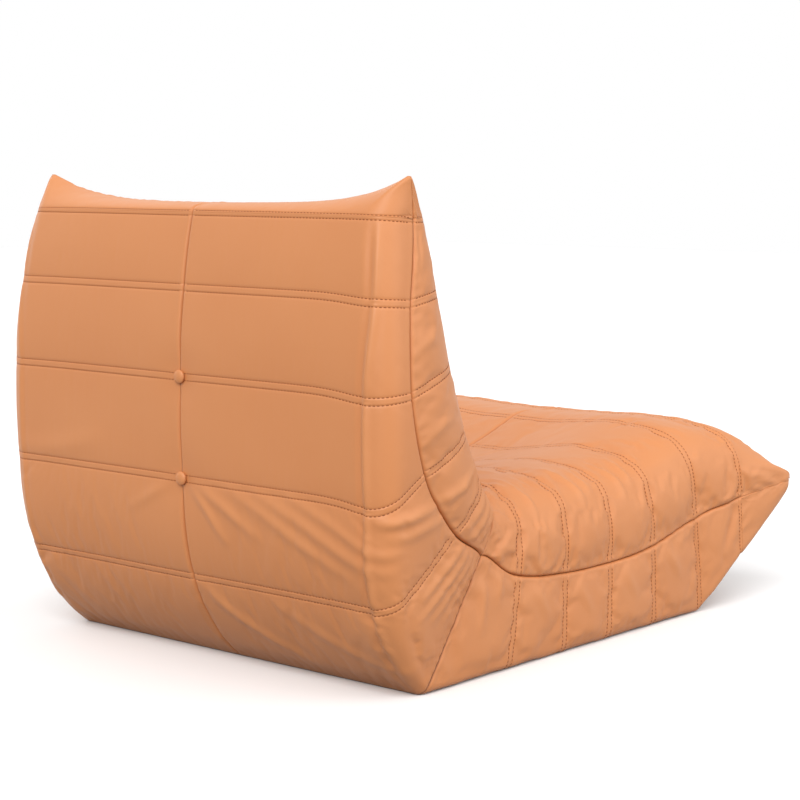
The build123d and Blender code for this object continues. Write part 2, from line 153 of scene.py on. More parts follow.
def side_view(row):
    """Outer and inner point of the section at a row, its half width and how full its inner curve is.

    The rear is upright at the bulge, tucked under below it by a fourth power and leaning in above it by a
    square. The rows fan about the crease on the front of the back. The seat dips by a power curve, with a
    shallow hollow and a crown added near its front. Its rows are then moved back and its middle is raised.
    """
    back = np.clip(row, top_row, crease_row)
    seat = np.clip(row, crease_row, last_row)
    on_back = row < crease_row
    height = np.interp(back, back_rows, back_row_heights)
    below = np.clip(1 - height / bulge_height, 0, 1)
    above = climb(height, bulge_height, back_row_heights[0] - bulge_height)
    fan = ((crease_row - back) / (crease_row - top_row)) ** row_fan
    nose = climb(row, nose_row, 1)
    floor_y = np.interp(seat, floor_rows, floor_row_ys) - nose_row_advance * nose
    floor_y = floor_y + np.interp(seat, seat_rows, floor_row_shift)
    outer_y = np.where(on_back, rear_y - heel_tuck * below**4 - top_lean * above**2, floor_y)
    outer_z = np.where(on_back, height, nose_row_height * nose)
    seat_y = np.interp(seat, seat_rows, seat_row_ys)
    behind = climb(seat_y, seat_dip_y, crease[0] - seat_dip_y)
    ahead = climb(seat_y, seat_dip_y, seat_row_ys[-1] - seat_dip_y)
    seat_z = seat_dip_height + (crease[1] - seat_dip_height) * behind**2
    seat_z = seat_z + (seat_front_height - seat_dip_height) * ahead**seat_rise_power
    seat_z = seat_z + seat_crown * bump(seat_y - seat_crown_y, seat_crown_reach)
    seat_z = seat_z - seat_hollow * bump(seat_y - seat_hollow_y, seat_hollow_reach)
    seat_z = seat_z + np.interp(seat, seat_rows, seat_row_lift)
    seat_y = seat_y + np.interp(seat, seat_rows, seat_row_shift)
    inner_y = np.where(on_back, crease[0] + (front_top[0] - crease[0]) * fan, seat_y)
    inner_z = np.where(on_back, crease[1] + (front_top[1] - crease[1]) * fan, seat_z)
    low = np.clip(1 - height / widest_height, 0, 1)
    high = climb(height, widest_height, back_row_heights[0] - widest_height)
    back_width = back_half_width - (back_half_width - seat_half_width) * low**2
    back_width = back_width - (back_half_width - top_half_width) * high**2
    seat_width = seat_half_width + (nose_half_width - seat_half_width) * nose
    fullness = np.interp(seat, seat_rows, seat_fullness)
    outer = np.stack([outer_y, outer_z], -1)
    inner = np.stack([inner_y, inner_z], -1)
    return outer, inner, np.where(on_back, back_width, seat_width), fullness


def outer_outline(across, half_width, seam, radius, start):
    """Outer cover's half section: flat from the middle, a quarter round, then straight down to the seam.

    Returns the distance from the middle, the height above the seam, and the shares of the flat and of the
    rest that lie behind the point.
    """
    flat = half_width - radius
    turn = radius * np.pi / 2
    travel = start + across * (flat + turn + seam - radius - start)
    on_flat = np.clip(travel, 0, flat)
    angle = np.clip((travel - flat) / radius, 0, np.pi / 2)
    on_wall = np.clip(travel - flat - turn, 0, None)
    x = on_flat + radius * np.sin(angle)
    height = seam - radius * (1 - np.cos(angle)) - on_wall
    rest = np.clip(travel - flat, 0, None) / (turn + seam - radius)
    return x, height, on_flat / flat, rest


usual_rise = 0.4


def even_steps(fullness):
    """Parameter of the inner cover's Bezier curve at even steps of its length, for a usual section."""
    t = np.linspace(0, 1, 400)
    x = 3 * t * (1 - t) ** 2 * fullness + 3 * t**2 * (1 - t) + t**3
    z = usual_rise * ((1 - t) ** 3 + 3 * t * (1 - t) ** 2 + 3 * t**2 * (1 - t) * fullness)
    length = np.concatenate([[0], np.cumsum(np.hypot(np.diff(x), np.diff(z)))])
    return length / length[-1], t


curve_length, curve_parameter = even_steps(crown_fullness)
wall_from = 0.95
tip_from = 0.86


def inner_outline(across, half_width, rise, fullness):
    """Inner cover's half section: a full cubic from the middle down to a short wall on the seam."""
    t = np.interp(climb(across, 0, wall_from), curve_length, curve_parameter)
    foot = crown_start * rise
    knee = foot + fullness * (rise - foot)
    x = half_width * (3 * t * (1 - t) ** 2 * fullness + 3 * t**2 * (1 - t) + t**3)
    height = rise * (1 - t) ** 3 + 3 * rise * t * (1 - t) ** 2 + 3 * t**2 * (1 - t) * knee + t**3 * foot
    on_wall = climb(across, wall_from, 1 - wall_from)
    shares = climb(across, 0, tip_from), climb(across, tip_from, 1 - tip_from)
    return x, height * (1 - on_wall), *shares


def cover_point(row, across, outside, start=0.0):
    """Point of the cover on the sitter's left.

    Between rows 1 and 12 it lies in the row's plane. Beyond them it swings about the side seam of the end
    row, from that row to the ridge, on a curve that is round in the middle and straight at the tip. The
    ridge rises with a power of the distance from the middle up to its tip. The seat is raised beside its
    edges by one smooth step up and one down.
    """
    row, across = np.broadcast_arrays(np.asarray(row, float), np.asarray(across, float))
    plane = np.clip(row, top_row, last_row)
    outer, inner, half_width, fullness = side_view(plane)
    chord = np.linalg.norm(inner - outer, axis=-1)
    along = (inner - outer) / chord[..., None]
    seam = chord * curve_through(seam_shares, plane - 1)
    hinge = outer + seam[..., None] * along
    if outside:
        radius = curve_through(corner_radii, plane - 1)
        x, height, flat_share, rest_share = outer_outline(across, half_width, seam, radius, start)
    else:
        x, height, flat_share, rest_share = inner_outline(across, half_width, chord - seam, fullness)
        raised = ease((across - edge_from) / edge_rise) * (1 - ease((across - edge_end) / edge_fall))
        height = height + raised * np.interp(row, seat_rows, edge_heights)
    on_crest = (row < top_row)[..., None]
    swing = np.clip(np.maximum(top_row - row, row - last_row), 0, 1)
    ridge_tip = np.where(on_crest, crest_tip, nose_tip)
    drop = np.where(on_crest[..., 0], ear_rise, tip_reach)
    width = np.where(on_crest[..., 0], ear_half_width, tip_half_width)
    reach = np.linalg.norm(ridge_tip - hinge, axis=-1)
    ridge_out = (ridge_tip - hinge) / reach[..., None]
    ridge_x = width * flat_share + (half_width - width) * rest_share
    rise = flat_share ** np.where(on_crest[..., 0], crest_power, nose_power)
    ridge_height = (reach - drop * (1 - rise)) * (1 - rest_share)
    nose_end = straightness["nose_under" if outside else "nose_top"]
    power = 1 + np.where(on_crest[..., 0], straightness["crest"], nose_end) * flat_share**2
    lean = np.cos(swing * np.pi / 2) ** power
    lift = np.sin(swing * np.pi / 2) ** power
    face = -along if outside else along
    place = hinge + (lean * height)[..., None] * face + (lift * ridge_height)[..., None] * ridge_out
    return np.concatenate([(x + (ridge_x - x) * lift)[..., None], place], -1)


# Camera: fitted to the photograph's outline
camera_place = (-2.091, 2.4412, 0.7228)
camera_yaw = np.radians(40.96)
camera_lens = 90.3
camera_sensor = 36.0
picture_middle, horizon_line, focal_pixels = 400.0, 165.1, 2007.0
horizon_drop = np.arctan((picture_middle - horizon_line) / focal_pixels)


def make_camera():
    """Camera at the photograph's place, level across the picture."""
    camera = bpy.data.objects.new("camera", bpy.data.cameras.new("camera"))
    bpy.context.scene.collection.objects.link(camera)
    camera.data.lens = camera_lens
    camera.data.sensor_width = camera_sensor
    camera.location = camera_place
    level = Vector((np.sin(camera_yaw), -np.cos(camera_yaw), 0.0))
    forward = level * np.cos(horizon_drop) - Vector((0, 0, np.sin(horizon_drop)))
    camera.rotation_mode = "QUATERNION"
    camera.rotation_quaternion = forward.to_track_quat("-Z", "Y")
    bpy.context.scene.camera = camera


make_camera()

# Panels of the cover: outer or inner sheet, first and last row, where its flat starts, how fine it is across
Panel = namedtuple("Panel", "name outside first last start fineness")
panels = (
    Panel("back_rear", True, 0, crease_row, 0.0, 0.62),
    Panel("back_front", False, 0, crease_row, 0.0, 1.0),
    Panel("seat_top", False, crease_row, last_row + 1, 0.0, 1.0),
    Panel("seat_side", True, crease_row, nose_row, base_half_width, 1.0),
    Panel("nose", True, nose_row, last_row + 1, 0.0, 1.0),
)
sides = {"left": 1, "right": -1}
stitch_offset = 5.0
row_band = np.array((0.0, 1.8, 3.4, 4.2, stitch_offset, 5.8, 6.8, 9.0))
seam_band = np.array((0.0, 1.2, 2.6, 4.5, 7.0, 10.0))
cell = 4.5


def panel_points(panel, row, across):
    """Points of a panel on the sitter's left."""
    return cover_point(row, across, panel.outside, panel.start)


def lengths(points):
    """Lengths of the runs of points along the first axis."""
    return np.linalg.norm(np.diff(points, axis=0), axis=-1).sum(0)


def lines_across(panel, step, band):
    """Places across a panel: close together beside the middle seam and the side seam, even between."""
    length = lengths(panel_points(panel, panel.first + 1.5, np.linspace(0, 1, 60)))
    edge = band / length
    count = int(np.ceil((length - 2 * band[-1]) / step))
    even = np.linspace(edge[-1], 1 - edge[-1], count + 1)[1:-1]
    return np.concatenate([edge, even, 1 - edge[::-1]])


def panel_grid(panel, step, rows_band, sides_band):
    """Grid of a panel on the sitter's left, with lines beside each row at the distances in rows_band."""
    across = lines_across(panel, step * panel.fineness, sides_band)
    rows, gaps, nearest = [], [], []
    for channel in range(panel.first, panel.last):
        length = lengths(panel_points(panel, np.linspace(channel, channel + 1, 13)[:, None], across))
        count = int(np.ceil((length.max() - 2 * rows_band[-1]) / step))
        band = rows_band[:, None] * np.minimum(1, length / (3 * rows_band[-1] + 1e-6))
        even = np.linspace(0, 1, count + 1)[1:-1, None]
        middle = band[-1] + even * (length - 2 * band[-1])
        places = np.concatenate([band, middle, (length - band)[::-1]])
        if channel < panel.last - 1:
            places = places[:-1]
        rows.append(channel + places / np.maximum(length, 1e-6))
        gaps.append(np.minimum(places, length - places))
        nearest.append(channel + (places > length / 2))
    row = np.concatenate(rows)
    points = panel_points(panel, row, across)
    step_across = np.linalg.norm(np.diff(points, axis=1), axis=-1)
    travel = np.concatenate([np.zeros((len(row), 1)), np.cumsum(step_across, axis=1)], axis=1)
    return SimpleNamespace(
        panel=panel,
        row=row,
        across=np.broadcast_to(across, row.shape),
        points=points,
        normal=grid_normals(points, panel.outside),
        row_gap=np.concatenate(gaps),
        nearest=np.concatenate(nearest),
        middle_gap=travel + panel.start,
        side_gap=travel[:, -1:] - travel,
    )


def grid_normals(points, outside):
    """Outward normals: the cross product of the grid's two directions, at the side seam its neighbour's."""
    down = np.gradient(points, axis=0)
    sideways = np.gradient(points, axis=1)
    normal = np.cross(sideways, down) if outside else np.cross(down, sideways)
    normal = normal / np.maximum(np.linalg.norm(normal, axis=-1, keepdims=True), 1e-9)
    normal[:, -1] = normal[:, -2]
    return normal


# Relief of the quilted cover, in millimetres above the plain outline. An end of the corner's raised edge or
# of a drawn seam is the row where its fade starts and the length of the fade in rows.
cover_level = 2.0
seam_width = 1.1
lip_height = 0.5
lip_place = 5.0
lip_width = 3.5
stitch_groove = 0.7
stitch_groove_width = 1.3
band_height = 0.5
band_fade = 2.0
puff_width = 24.0
side_flatness, side_reach = 0.6, 22.0
middle_flatness, middle_reach = 0.5, 26.0
puff_heights = {"back_rear": 2.2, "back_front": 2.2, "seat_top": 2.2, "seat_side": 2.0, "nose": 2.2}
pucker_heights = {"back_rear": 0.25, "back_front": 0.6, "seat_top": 1.0, "seat_side": 0.9, "nose": 0.8}
pucker_reach = 15.0
pucker_start = 7.0
pucker_lengths = (3.4, 5.3, 8.1)
swell_length = 47.0
lump_height = 0.7
lump_lengths = (61.0, 47.0, 53.0)
button_rows = (3, 4)
button_pull = 34.0
corner_beads = {"left": 1.5, "right": 4.4}
bead_width = 4.8
bead_trough, trough_place, trough_width = 0.5, 9.0, 5.5
bead_first, bead_last = (0.9, 0.6), (5.9, -0.8)
bead_dip, dip_reach = 0.6, 10.0
bead_insets = np.array((4.0, 6.0, 10.0, 24.0, 24.0, 20.0, 0.0))
floor_fade = 30.0


def seam_fade(grid):
    """0 on a plain seam, rising to 1 beside it, so that panels meet in a groove on their common line."""
    plain = np.isin(grid.nearest, plain_rows)
    fade = np.where(plain, 1 - np.exp(-grid.row_gap / seam_width), 1.0)
    fade = fade * (1 - np.exp(-grid.side_gap / seam_width))
    if grid.panel.start == 0:
        fade = fade * (1 - np.exp(-grid.middle_gap / seam_width))
    return fade


def waves(place, phase):
    """Uneven waves along a row: three sines of unlike length, swelling and fading."""
    swell = 0.6 + 0.4 * np.sin(place / swell_length + 2.3 * phase)
    first, second, third = (place / length for length in pucker_lengths)
    return swell * (np.sin(first + phase) + np.sin(second + 1.7 * phase) + np.sin(third - phase)) / 2


def quilting(grid, sign):
    """Height of the cover from its seams: puffed channels, twin grooves at the stitching, puckers, lumps."""
    name = grid.panel.name
    twin = ~np.isin(grid.nearest, plain_rows)
    puff = puff_heights[name] * (1 - np.exp(-grid.row_gap / puff_width))
    puff = puff * (1 - side_flatness * np.exp(-grid.side_gap / side_reach))
    puff = puff * (1 - middle_flatness * np.exp(-grid.middle_gap / middle_reach))
    groove = -stitch_groove * bump(grid.row_gap - stitch_offset, stitch_groove_width)
    band = band_height * climb(grid.row_gap, stitch_offset, -band_fade)
    phase = 5 * grid.nearest + 1.3 * sign + len(name)
    near_row = np.exp(-grid.row_gap / pucker_reach) * (1 - bump(grid.row_gap, pucker_start))
    pucker = pucker_heights[name] * near_row * waves(grid.middle_gap, phase)
    x, y, z = (grid.points[..., k] / lump_lengths[k] for k in range(3))
    lumps = lump_height * np.sin(x + sign) * np.sin(y + z + sign)
    lips = bump(grid.side_gap - lip_place, lip_width) + bump(grid.middle_gap - lip_place, lip_width)
    lips = lip_height * (lips + np.where(twin, 0, bump(grid.row_gap - lip_place, lip_width)))
    return cover_level + puff + np.where(twin, groove + band, 0) + pucker + lumps + lips


def corner_edge(grid, side):
    """Raised edge along the rear corner of the back: a hump with a trough behind it, fading at both ends."""
    if grid.panel.name != "back_rear":
        return 0.0
    plane = np.clip(grid.row, top_row, last_row)
    half_width = side_view(plane)[2]
    radius = curve_through(corner_radii, plane - 1)
    inset = curve_through(bead_insets, grid.row)
    beyond = grid.middle_gap - (half_width - radius + 0.5 * radius * np.pi / 2 - inset)
    strength = climb(grid.row, *bead_first) * climb(grid.row, *bead_last)
    strength = strength * (1 - bead_dip * np.exp(-grid.row_gap / dip_reach))
    trough = bead_trough * bump(beyond + trough_place, trough_width)
    return corner_beads[side] * strength * (bump(beyond, bead_width) - trough)


# Folds of each panel: height and width in millimetres, then points as (row, across)
fold_gain = 1.3
fold_points = 28
fold_end = 0.08
fold_power = 0.7
fold_rows = 0.5
folds = {
    ("back_rear", "right"): (
        (2.4, 7, (4.03, 0.02), (4.25, 0.10), (4.55, 0.17)),
        (2.2, 8, (4.03, 0.06), (4.22, 0.18), (4.45, 0.30)),
        (2.2, 9, (4.05, 0.22), (4.25, 0.36), (4.50, 0.50), (4.70, 0.62)),
        (2.4, 9, (4.05, 0.33), (4.25, 0.49), (4.50, 0.64), (4.62, 0.76)),
        (2.0, 8, (4.04, 0.47), (4.20, 0.60), (4.40, 0.74), (4.48, 0.82)),
        (2.5, 9, (5.06, 0.03), (5.40, 0.14), (5.80, 0.33)),
        (1.6, 9, (5.10, 0.28), (5.45, 0.46), (5.75, 0.66)),
        (4.0, 8, (4.10, 0.80), (4.22, 0.88), (4.42, 0.99)),
        (2.6, 8, (4.30, 0.82), (4.45, 0.90), (4.62, 0.99)),
        (2.6, 7, (5.20, 0.80), (5.24, 0.90), (5.30, 0.99)),
        (3.0, 8, (5.36, 0.76), (5.42, 0.88), (5.48, 0.99)),
        (2.6, 8, (5.55, 0.78), (5.60, 0.88), (5.64, 0.99)),
        (2.4, 8, (5.74, 0.80), (5.78, 0.90), (5.82, 0.99)),
    ),
    ("back_rear", "left"): (
        (2.0, 8, (5.50, 0.80), (5.75, 0.74), (5.95, 0.70)),
        (1.6, 8, (5.45, 0.66), (5.70, 0.60), (5.92, 0.57)),
        (1.4, 8, (4.05, 0.05), (4.20, 0.14), (4.34, 0.22)),
        (1.5, 16, (3.70, 0.40), (3.85, 0.60), (3.90, 0.80)),
        (2.4, 8, (5.24, 0.84), (5.30, 0.99)),
        (2.8, 8, (5.50, 0.82), (5.56, 0.99)),
    ),
    ("back_front", "right"): (
        (3.2, 7, (4.42, 0.99), (4.50, 0.90), (4.56, 0.79)),
        (2.4, 7, (5.15, 0.98), (5.20, 0.88), (5.25, 0.76)),
        (2.8, 7, (5.40, 0.98), (5.45, 0.88), (5.50, 0.74)),
        (2.4, 7, (5.65, 0.98), (5.70, 0.88), (5.76, 0.72)),
        (1.6, 7, (2.55, 0.98), (2.48, 0.90), (2.42, 0.82)),
        (1.8, 8, (3.62, 0.98), (3.55, 0.90), (3.50, 0.80)),
    ),
    ("back_front", "left"): (
        (2.6, 7, (4.40, 0.98), (4.46, 0.90), (4.50, 0.80)),
        (2.6, 7, (5.30, 0.98), (5.36, 0.88), (5.42, 0.75)),
        (2.4, 7, (5.60, 0.98), (5.66, 0.88), (5.70, 0.74)),
        (1.4, 8, (3.50, 0.97), (3.45, 0.88), (3.42, 0.80)),
    ),
    ("seat_top", "right"): (
        (3.1, 8, (6.20, 0.05), (7.20, 0.12), (8.30, 0.16)),
        (3.6, 8, (6.20, 0.10), (7.20, 0.25), (8.00, 0.33)),
        (3.6, 8, (6.15, 0.20), (7.00, 0.40), (7.60, 0.50)),
        (3.4, 8, (6.15, 0.35), (6.80, 0.55), (7.30, 0.66)),
        (3.1, 6, (7.28, 0.58), (7.38, 0.68), (7.42, 0.78)),
        (3.4, 6, (8.35, 0.56), (8.45, 0.67), (8.50, 0.77)),
        (2.8, 6, (8.70, 0.60), (8.72, 0.74)),
        (3.1, 6, (9.30, 0.58), (9.40, 0.69), (9.42, 0.79)),
        (2.8, 6, (9.70, 0.60), (9.68, 0.75)),
        (-4.8, 9, (11.75, 0.42), (11.73, 0.52), (11.70, 0.62)),
    ),
    ("seat_top", "left"): (
        (3.1, 8, (6.20, 0.07), (7.00, 0.14), (8.10, 0.17)),
        (3.5, 8, (6.20, 0.14), (7.10, 0.28), (7.80, 0.36)),
        (3.5, 8, (6.15, 0.28), (6.90, 0.46), (7.40, 0.58)),
        (3.1, 6, (8.40, 0.58), (8.48, 0.68), (8.50, 0.78)),
        (2.8, 6, (9.45, 0.60), (9.52, 0.76)),
        (-3.9, 9, (11.74, 0.44), (11.70, 0.62)),
    ),
    ("nose", "right"): (
        (-4.0, 9, (11.90, 0.99), (11.78, 0.93), (11.60, 0.86)),
    ),
    ("nose", "left"): (
        (-3.4, 9, (11.88, 0.99), (11.74, 0.92), (11.58, 0.86)),
    ),
    ("seat_side", "right"): (
        (2.4, 8, (6.18, 0.92), (6.35, 0.76), (6.45, 0.60)),
        (2.0, 7, (6.55, 0.96), (6.66, 0.80)),
        (1.8, 8, (7.35, 0.92), (7.60, 0.70)),
        (1.8, 8, (8.30, 0.88), (8.52, 0.66)),
        (1.8, 8, (9.30, 0.92), (9.52, 0.70)),
        (2.2, 9, (10.30, 0.92), (10.55, 0.66)),
    ),
    ("seat_side", "left"): (
        (2.4, 8, (6.22, 0.90), (6.40, 0.74), (6.50, 0.60)),
        (1.8, 8, (7.40, 0.90), (7.62, 0.70)),
        (1.8, 8, (9.35, 0.90), (9.55, 0.68)),
        (2.0, 9, (10.35, 0.90), (10.60, 0.68)),
    ),
}


def fold_relief(grid, side):
    """Sum of the folds on a panel: each a hump along a smooth line on the cover that fades at its ends.

    Humps stand up by the gain; hollows keep their depth.
    """
    height = np.zeros(grid.row.shape)
    share = np.linspace(0, 1, fold_points)
    fade = np.sin(np.pi * (fold_end + (1 - 2 * fold_end) * share)) ** fold_power
    for rise, width, *places in folds[grid.panel.name, side]:
        line = curve_through(np.array(places), share * (len(places) - 1))
        points = panel_points(grid.panel, line[:, 0], line[:, 1])
        near = np.abs(grid.row - line[:, 0].mean()) < np.ptp(line[:, 0]) / 2 + fold_rows
        apart = np.linalg.norm(grid.points[near][:, None] - points, axis=-1)
        height[near] += max(rise, fold_gain * rise) * bump(apart.min(1), width) * fade[apart.argmin(1)]
    return height


def button_fade(grid):
    """0 under a covered button, rising to 1 round it."""
    fade = np.ones(grid.row.shape)
    if grid.panel.name.startswith("back"):
        for row in button_rows:
            apart = np.linalg.norm(grid.points - panel_points(grid.panel, row, 0.0), axis=-1)
            fade = fade * (1 - bump(apart, button_pull))
    return fade


weld_distance = 0.01


def sheet_quads(lines, columns):
    """Quads of a grid."""
    index = np.arange(lines * columns).reshape(lines, columns)
    return np.stack([index[:-1, :-1], index[:-1, 1:], index[1:, 1:], index[1:, :-1]], -1).reshape(-1, 4)


def shell_quads(lines, columns, flip):
    """Quads of a closed sheet of two grid layers: both faces and the rim between them."""
    count = lines * columns
    index = np.arange(count).reshape(lines, columns)
    top = sheet_quads(lines, columns)
    border = np.concatenate([index[0, :-1], index[:-1, -1], index[-1, :0:-1], index[:0:-1, 0]])
    after = np.roll(border, -1)
    rim = np.stack([after, border, border + count, after + count], -1)
    quads = np.concatenate([top, top[:, ::-1] + count, rim])
    return quads[:, ::-1] if flip else quads


def ring_walls(rings, count):
    """Index of a stack of rings, the same index one step round, and the triangles between the rings."""
    index = np.arange(rings * count).reshape(rings, count)
    after = np.roll(index, -1, axis=1)
    walls = np.stack([index[:-1], after[:-1], after[1:], index[1:]], -1).reshape(-1, 4)
    return index, after, np.concatenate([walls[:, [0, 1, 2]], walls[:, [0, 2, 3]]])


def weld_points(mesh):
    """Makes coincident points one, so that a grid closes at its poles."""
    work = bmesh.new()
    work.from_mesh(mesh)
    bmesh.ops.remove_doubles(work, verts=work.verts, dist=weld_distance * METRE)
    work.to_mesh(mesh)
    work.free()


def make_mesh(name, points, faces, material, smooth=True):
    """Mesh object from points in millimetres and faces of equal size."""
    mesh = bpy.data.meshes.new(name)
    mesh.from_pydata((points.reshape(-1, 3) * METRE).tolist(), [], faces.tolist())
    mesh.polygons.foreach_set("use_smooth", np.full(len(mesh.polygons), smooth))
    mesh.materials.append(material)
    mesh.update()
    piece = bpy.data.objects.new(name, mesh)
    bpy.context.scene.collection.objects.link(piece)
    return piece


def fit(piece, node=None):
    """Puts a piece on the chair, in place of a solid where one is named."""
    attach(piece, "chair")
    if node:
        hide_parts(node)


# How far the rows hang down at the side seam and at the rear corner, from the crest to the nose
seam_sag = np.array((0, 2, 10, 12, -3, 0, 0, 0, 0, 0, 0, 0, 0, 0), float)
corner_sag = np.array((0, 0, 4, 6, 10, 6, 0, 0, 0, 0, 0, 0, 0, 0), float)
corner_across = 0.82
corner_spread = 0.13
sag_from, sag_length = 0.7, 0.3
sag_shares = {"left": 0.1, "right": 1.0}
tip_blunting = 8.0
tip_round = 15.0
tip_way = np.array((0.55, -0.83, 0.0))
seam_tuck = 1.8
tuck_width = 1.5
tuck_from, tuck_length = 0.5, 0.2
tuck_first, tuck_last = (1.0, 0.4), (last_row + 0.9, -0.4)

# Slack cover: a cloth simulation held at every seam and row, with air pressure from inside. The spare cloth
# of a panel is its least share, how much more, the row where the rise starts and its length in rows.
cloth_cell = 8.0
cloth_frames = 14
cloth_pressure = 6.0
most_slack = 0.06
most_move = 12.0
most_sink = 1.0
bulge_share = 0.35
bulge_reach = 7
least_edge = 0.05
held_gap = 0.01
held_height = 2.0
slack_rises = {
    "back_rear": (0.03, 0.5, 3.8, 2.0),
    "back_front": (0.2, 0.5, 3.0, 3.0),
    "seat_top": (0.4, 0.5, 9.0, -3.0),
    "seat_side": (0.5, 0.0, 0.0, 1.0),
    "nose": (0.5, 0.0, 0.0, 1.0),
}
rear_slack_from, rear_slack_length, least_rear_slack = 0.2, 0.6, 0.15
settling_shares = {"back_rear": 1.0, "back_front": 0.8, "seat_top": 1.1, "seat_side": 0.75, "nose": 0.45}
upper_settling, lower_settling, settling_row, settling_rows = 0.3, 0.6, 3.7, 0.8
middle_settling, edge_settling, settling_from, settling_length = 0.35, 0.65, 0.3, 0.3
weight_steps = 20


def slack(grid):
    """Spare cloth of a panel, from 0, taut, to 1: a least share and a rise along the rows.

    There is most round the crease and little on the upper back and in the middle of the rear.
    """
    least, more, first, length = slack_rises[grid.panel.name]
    more = more * climb(grid.row, first, length)
    if grid.panel.name == "back_rear":
        more = more * np.clip((grid.across - rear_slack_from) / rear_slack_length, least_rear_slack, 1)
    return least + more


def settling(grid):
    """Share of the settled cloth's movement that a panel shows: least on the upper rear and mid seat."""
    share = np.full(grid.row.shape, settling_shares[grid.panel.name])
    if grid.panel.name == "back_rear":
        share = share * (upper_settling + lower_settling * climb(grid.row, settling_row, settling_rows))
    if grid.panel.name == "seat_top":
        share = share * (middle_settling + edge_settling * climb(grid.across, settling_from, settling_length))
    return share


def weight_group(piece, name, weights):
    """Vertex group with a weight for each vertex, rounded to even steps."""
    group = piece.vertex_groups.new(name=name)
    steps = np.round(weights * weight_steps).astype(int)
    for step in np.unique(steps):
        group.add(np.flatnonzero(steps == step).tolist(), step / weight_steps, "REPLACE")
    return group.name


def running_mean(values, reach):
    """Mean of each value and its neighbours across the panel, up to a reach of grid columns."""
    padded = np.pad(values, ((0, 0), (reach + 1, reach)), mode="edge")
    total = np.cumsum(padded, axis=1)
    return (total[:, 2 * reach + 1:] - total[:, :-2 * reach - 1]) / (2 * reach + 1)


def slack_cloth(piece, held, spare):
    """Cloth simulation on the cover: held at its seams, longer where it has spare, with air pressed in."""
    cloth = piece.modifiers.new("cloth", "CLOTH")
    settings = cloth.settings
    settings.vertex_group_mass = weight_group(piece, "held", held)
    settings.vertex_group_shrink = weight_group(piece, "taut", 1 - spare)
    settings.shrink_min = -most_slack
    settings.quality = 4
    settings.mass = 0.05
    settings.air_damping = 2.0
    settings.tension_stiffness = settings.compression_stiffness = 25
    settings.shear_stiffness = 12
    settings.bending_stiffness = 0.05
    settings.use_pressure = True
    settings.uniform_pressure_force = cloth_pressure
    settings.effector_weights.gravity = 0
    cloth.collision_settings.use_collision = False


def settle_cover():
    """Movement of the slack cover on a coarse grid of each panel, from Blender's cloth simulation."""
    grids, points, quads, held, spare, count = {}, [], [], [], [], 0
    for panel in panels:
        for side, sign in sides.items():
            grid = panel_grid(panel, cloth_cell, np.zeros(1), np.zeros(1))
            grids[panel.name, side] = grid, count
            points.append((grid.points * (sign, 1, 1)).reshape(-1, 3))
            faces = sheet_quads(*grid.row.shape)
            corners = grid.points.reshape(-1, 3)[faces]
            edges = np.linalg.norm(corners - np.roll(corners, 1, axis=1), axis=-1)
            faces = faces[edges.min(1) > least_edge]
            quads.append((faces if (sign > 0) == panel.outside else faces[:, ::-1]) + count)
            pinned = np.minimum(grid.row_gap, grid.side_gap) < held_gap
            pinned = pinned | (grid.middle_gap < panel.start + held_gap)
            if panel.outside:
                pinned = pinned | (grid.points[..., 2] < held_height)
            held.append(pinned.ravel())
            spare.append(slack(grid).ravel())
            count += grid.row.size
    start = np.concatenate(points)
    piece = make_mesh("slack_cover", start, np.concatenate(quads), bpy.data.materials.new("cloth"))
    slack_cloth(piece, np.concatenate(held).astype(float), np.concatenate(spare))
    scene = bpy.context.scene
    for step in range(1, cloth_frames + 1):
        scene.frame_set(step)
    settled = piece.evaluated_get(bpy.context.evaluated_depsgraph_get()).to_mesh()
    moved = np.empty(start.size)
    settled.vertices.foreach_get("co", moved)
    move = moved.reshape(-1, 3) / METRE - start
    size = np.linalg.norm(move, axis=-1, keepdims=True)
    move = move * most_move * np.tanh(size / most_move) / np.maximum(size, 1e-6)
    bpy.data.objects.remove(piece)
    scene.frame_set(1)
    moves = {}
    for key, (grid, first) in grids.items():
        normal = grid.normal * (sides[key[1]], 1, 1)
        shift = move[first:first + grid.row.size].reshape(normal.shape)
        out = (shift * normal).sum(-1)
        kept = out - (1 - bulge_share) * running_mean(out, bulge_reach)
        moves[key] = grid, shift + (np.maximum(kept, -most_sink) - out)[..., None] * normal
    return moves


def cubic_weights(t):
    """Shares of four neighbours in a Catmull-Rom curve."""
    return (
        (-t + 2 * t**2 - t**3) / 2,
        1 - 2.5 * t**2 + 1.5 * t**3,
        (t + 4 * t**2 - 3 * t**3) / 2,
        (t**3 - t**2) / 2,
    )


def resample(values, line, column):
    """Values of a coarse grid at places between its lines and columns, by cubic curves both ways."""
    top = np.clip(np.floor(line).astype(int), 0, values.shape[0] - 2)
    left = np.clip(np.floor(column).astype(int), 0, values.shape[1] - 2)
    total = 0.0
    for i, down in enumerate(cubic_weights(line - top)):
        for j, over in enumerate(cubic_weights(column - left)):
            near_line = np.clip(top + i - 1, 0, values.shape[0] - 1)
            near_column = np.clip(left + j - 1, 0, values.shape[1] - 1)
            total = total + (down * over)[..., None] * values[near_line, near_column]
    return total


settled = settle_cover()


def slack_move(grid, side):
    """Movement of a panel's fine grid, read from the settled cloth."""
    if not settled:
        return 0.0
    coarse, move = settled[grid.panel.name, side]
    line = np.interp(grid.row, coarse.row[:, 0], np.arange(len(coarse.row)))
    column = np.interp(grid.across, coarse.across[0], np.arange(coarse.row.shape[1]))
    return resample(move, line, column)


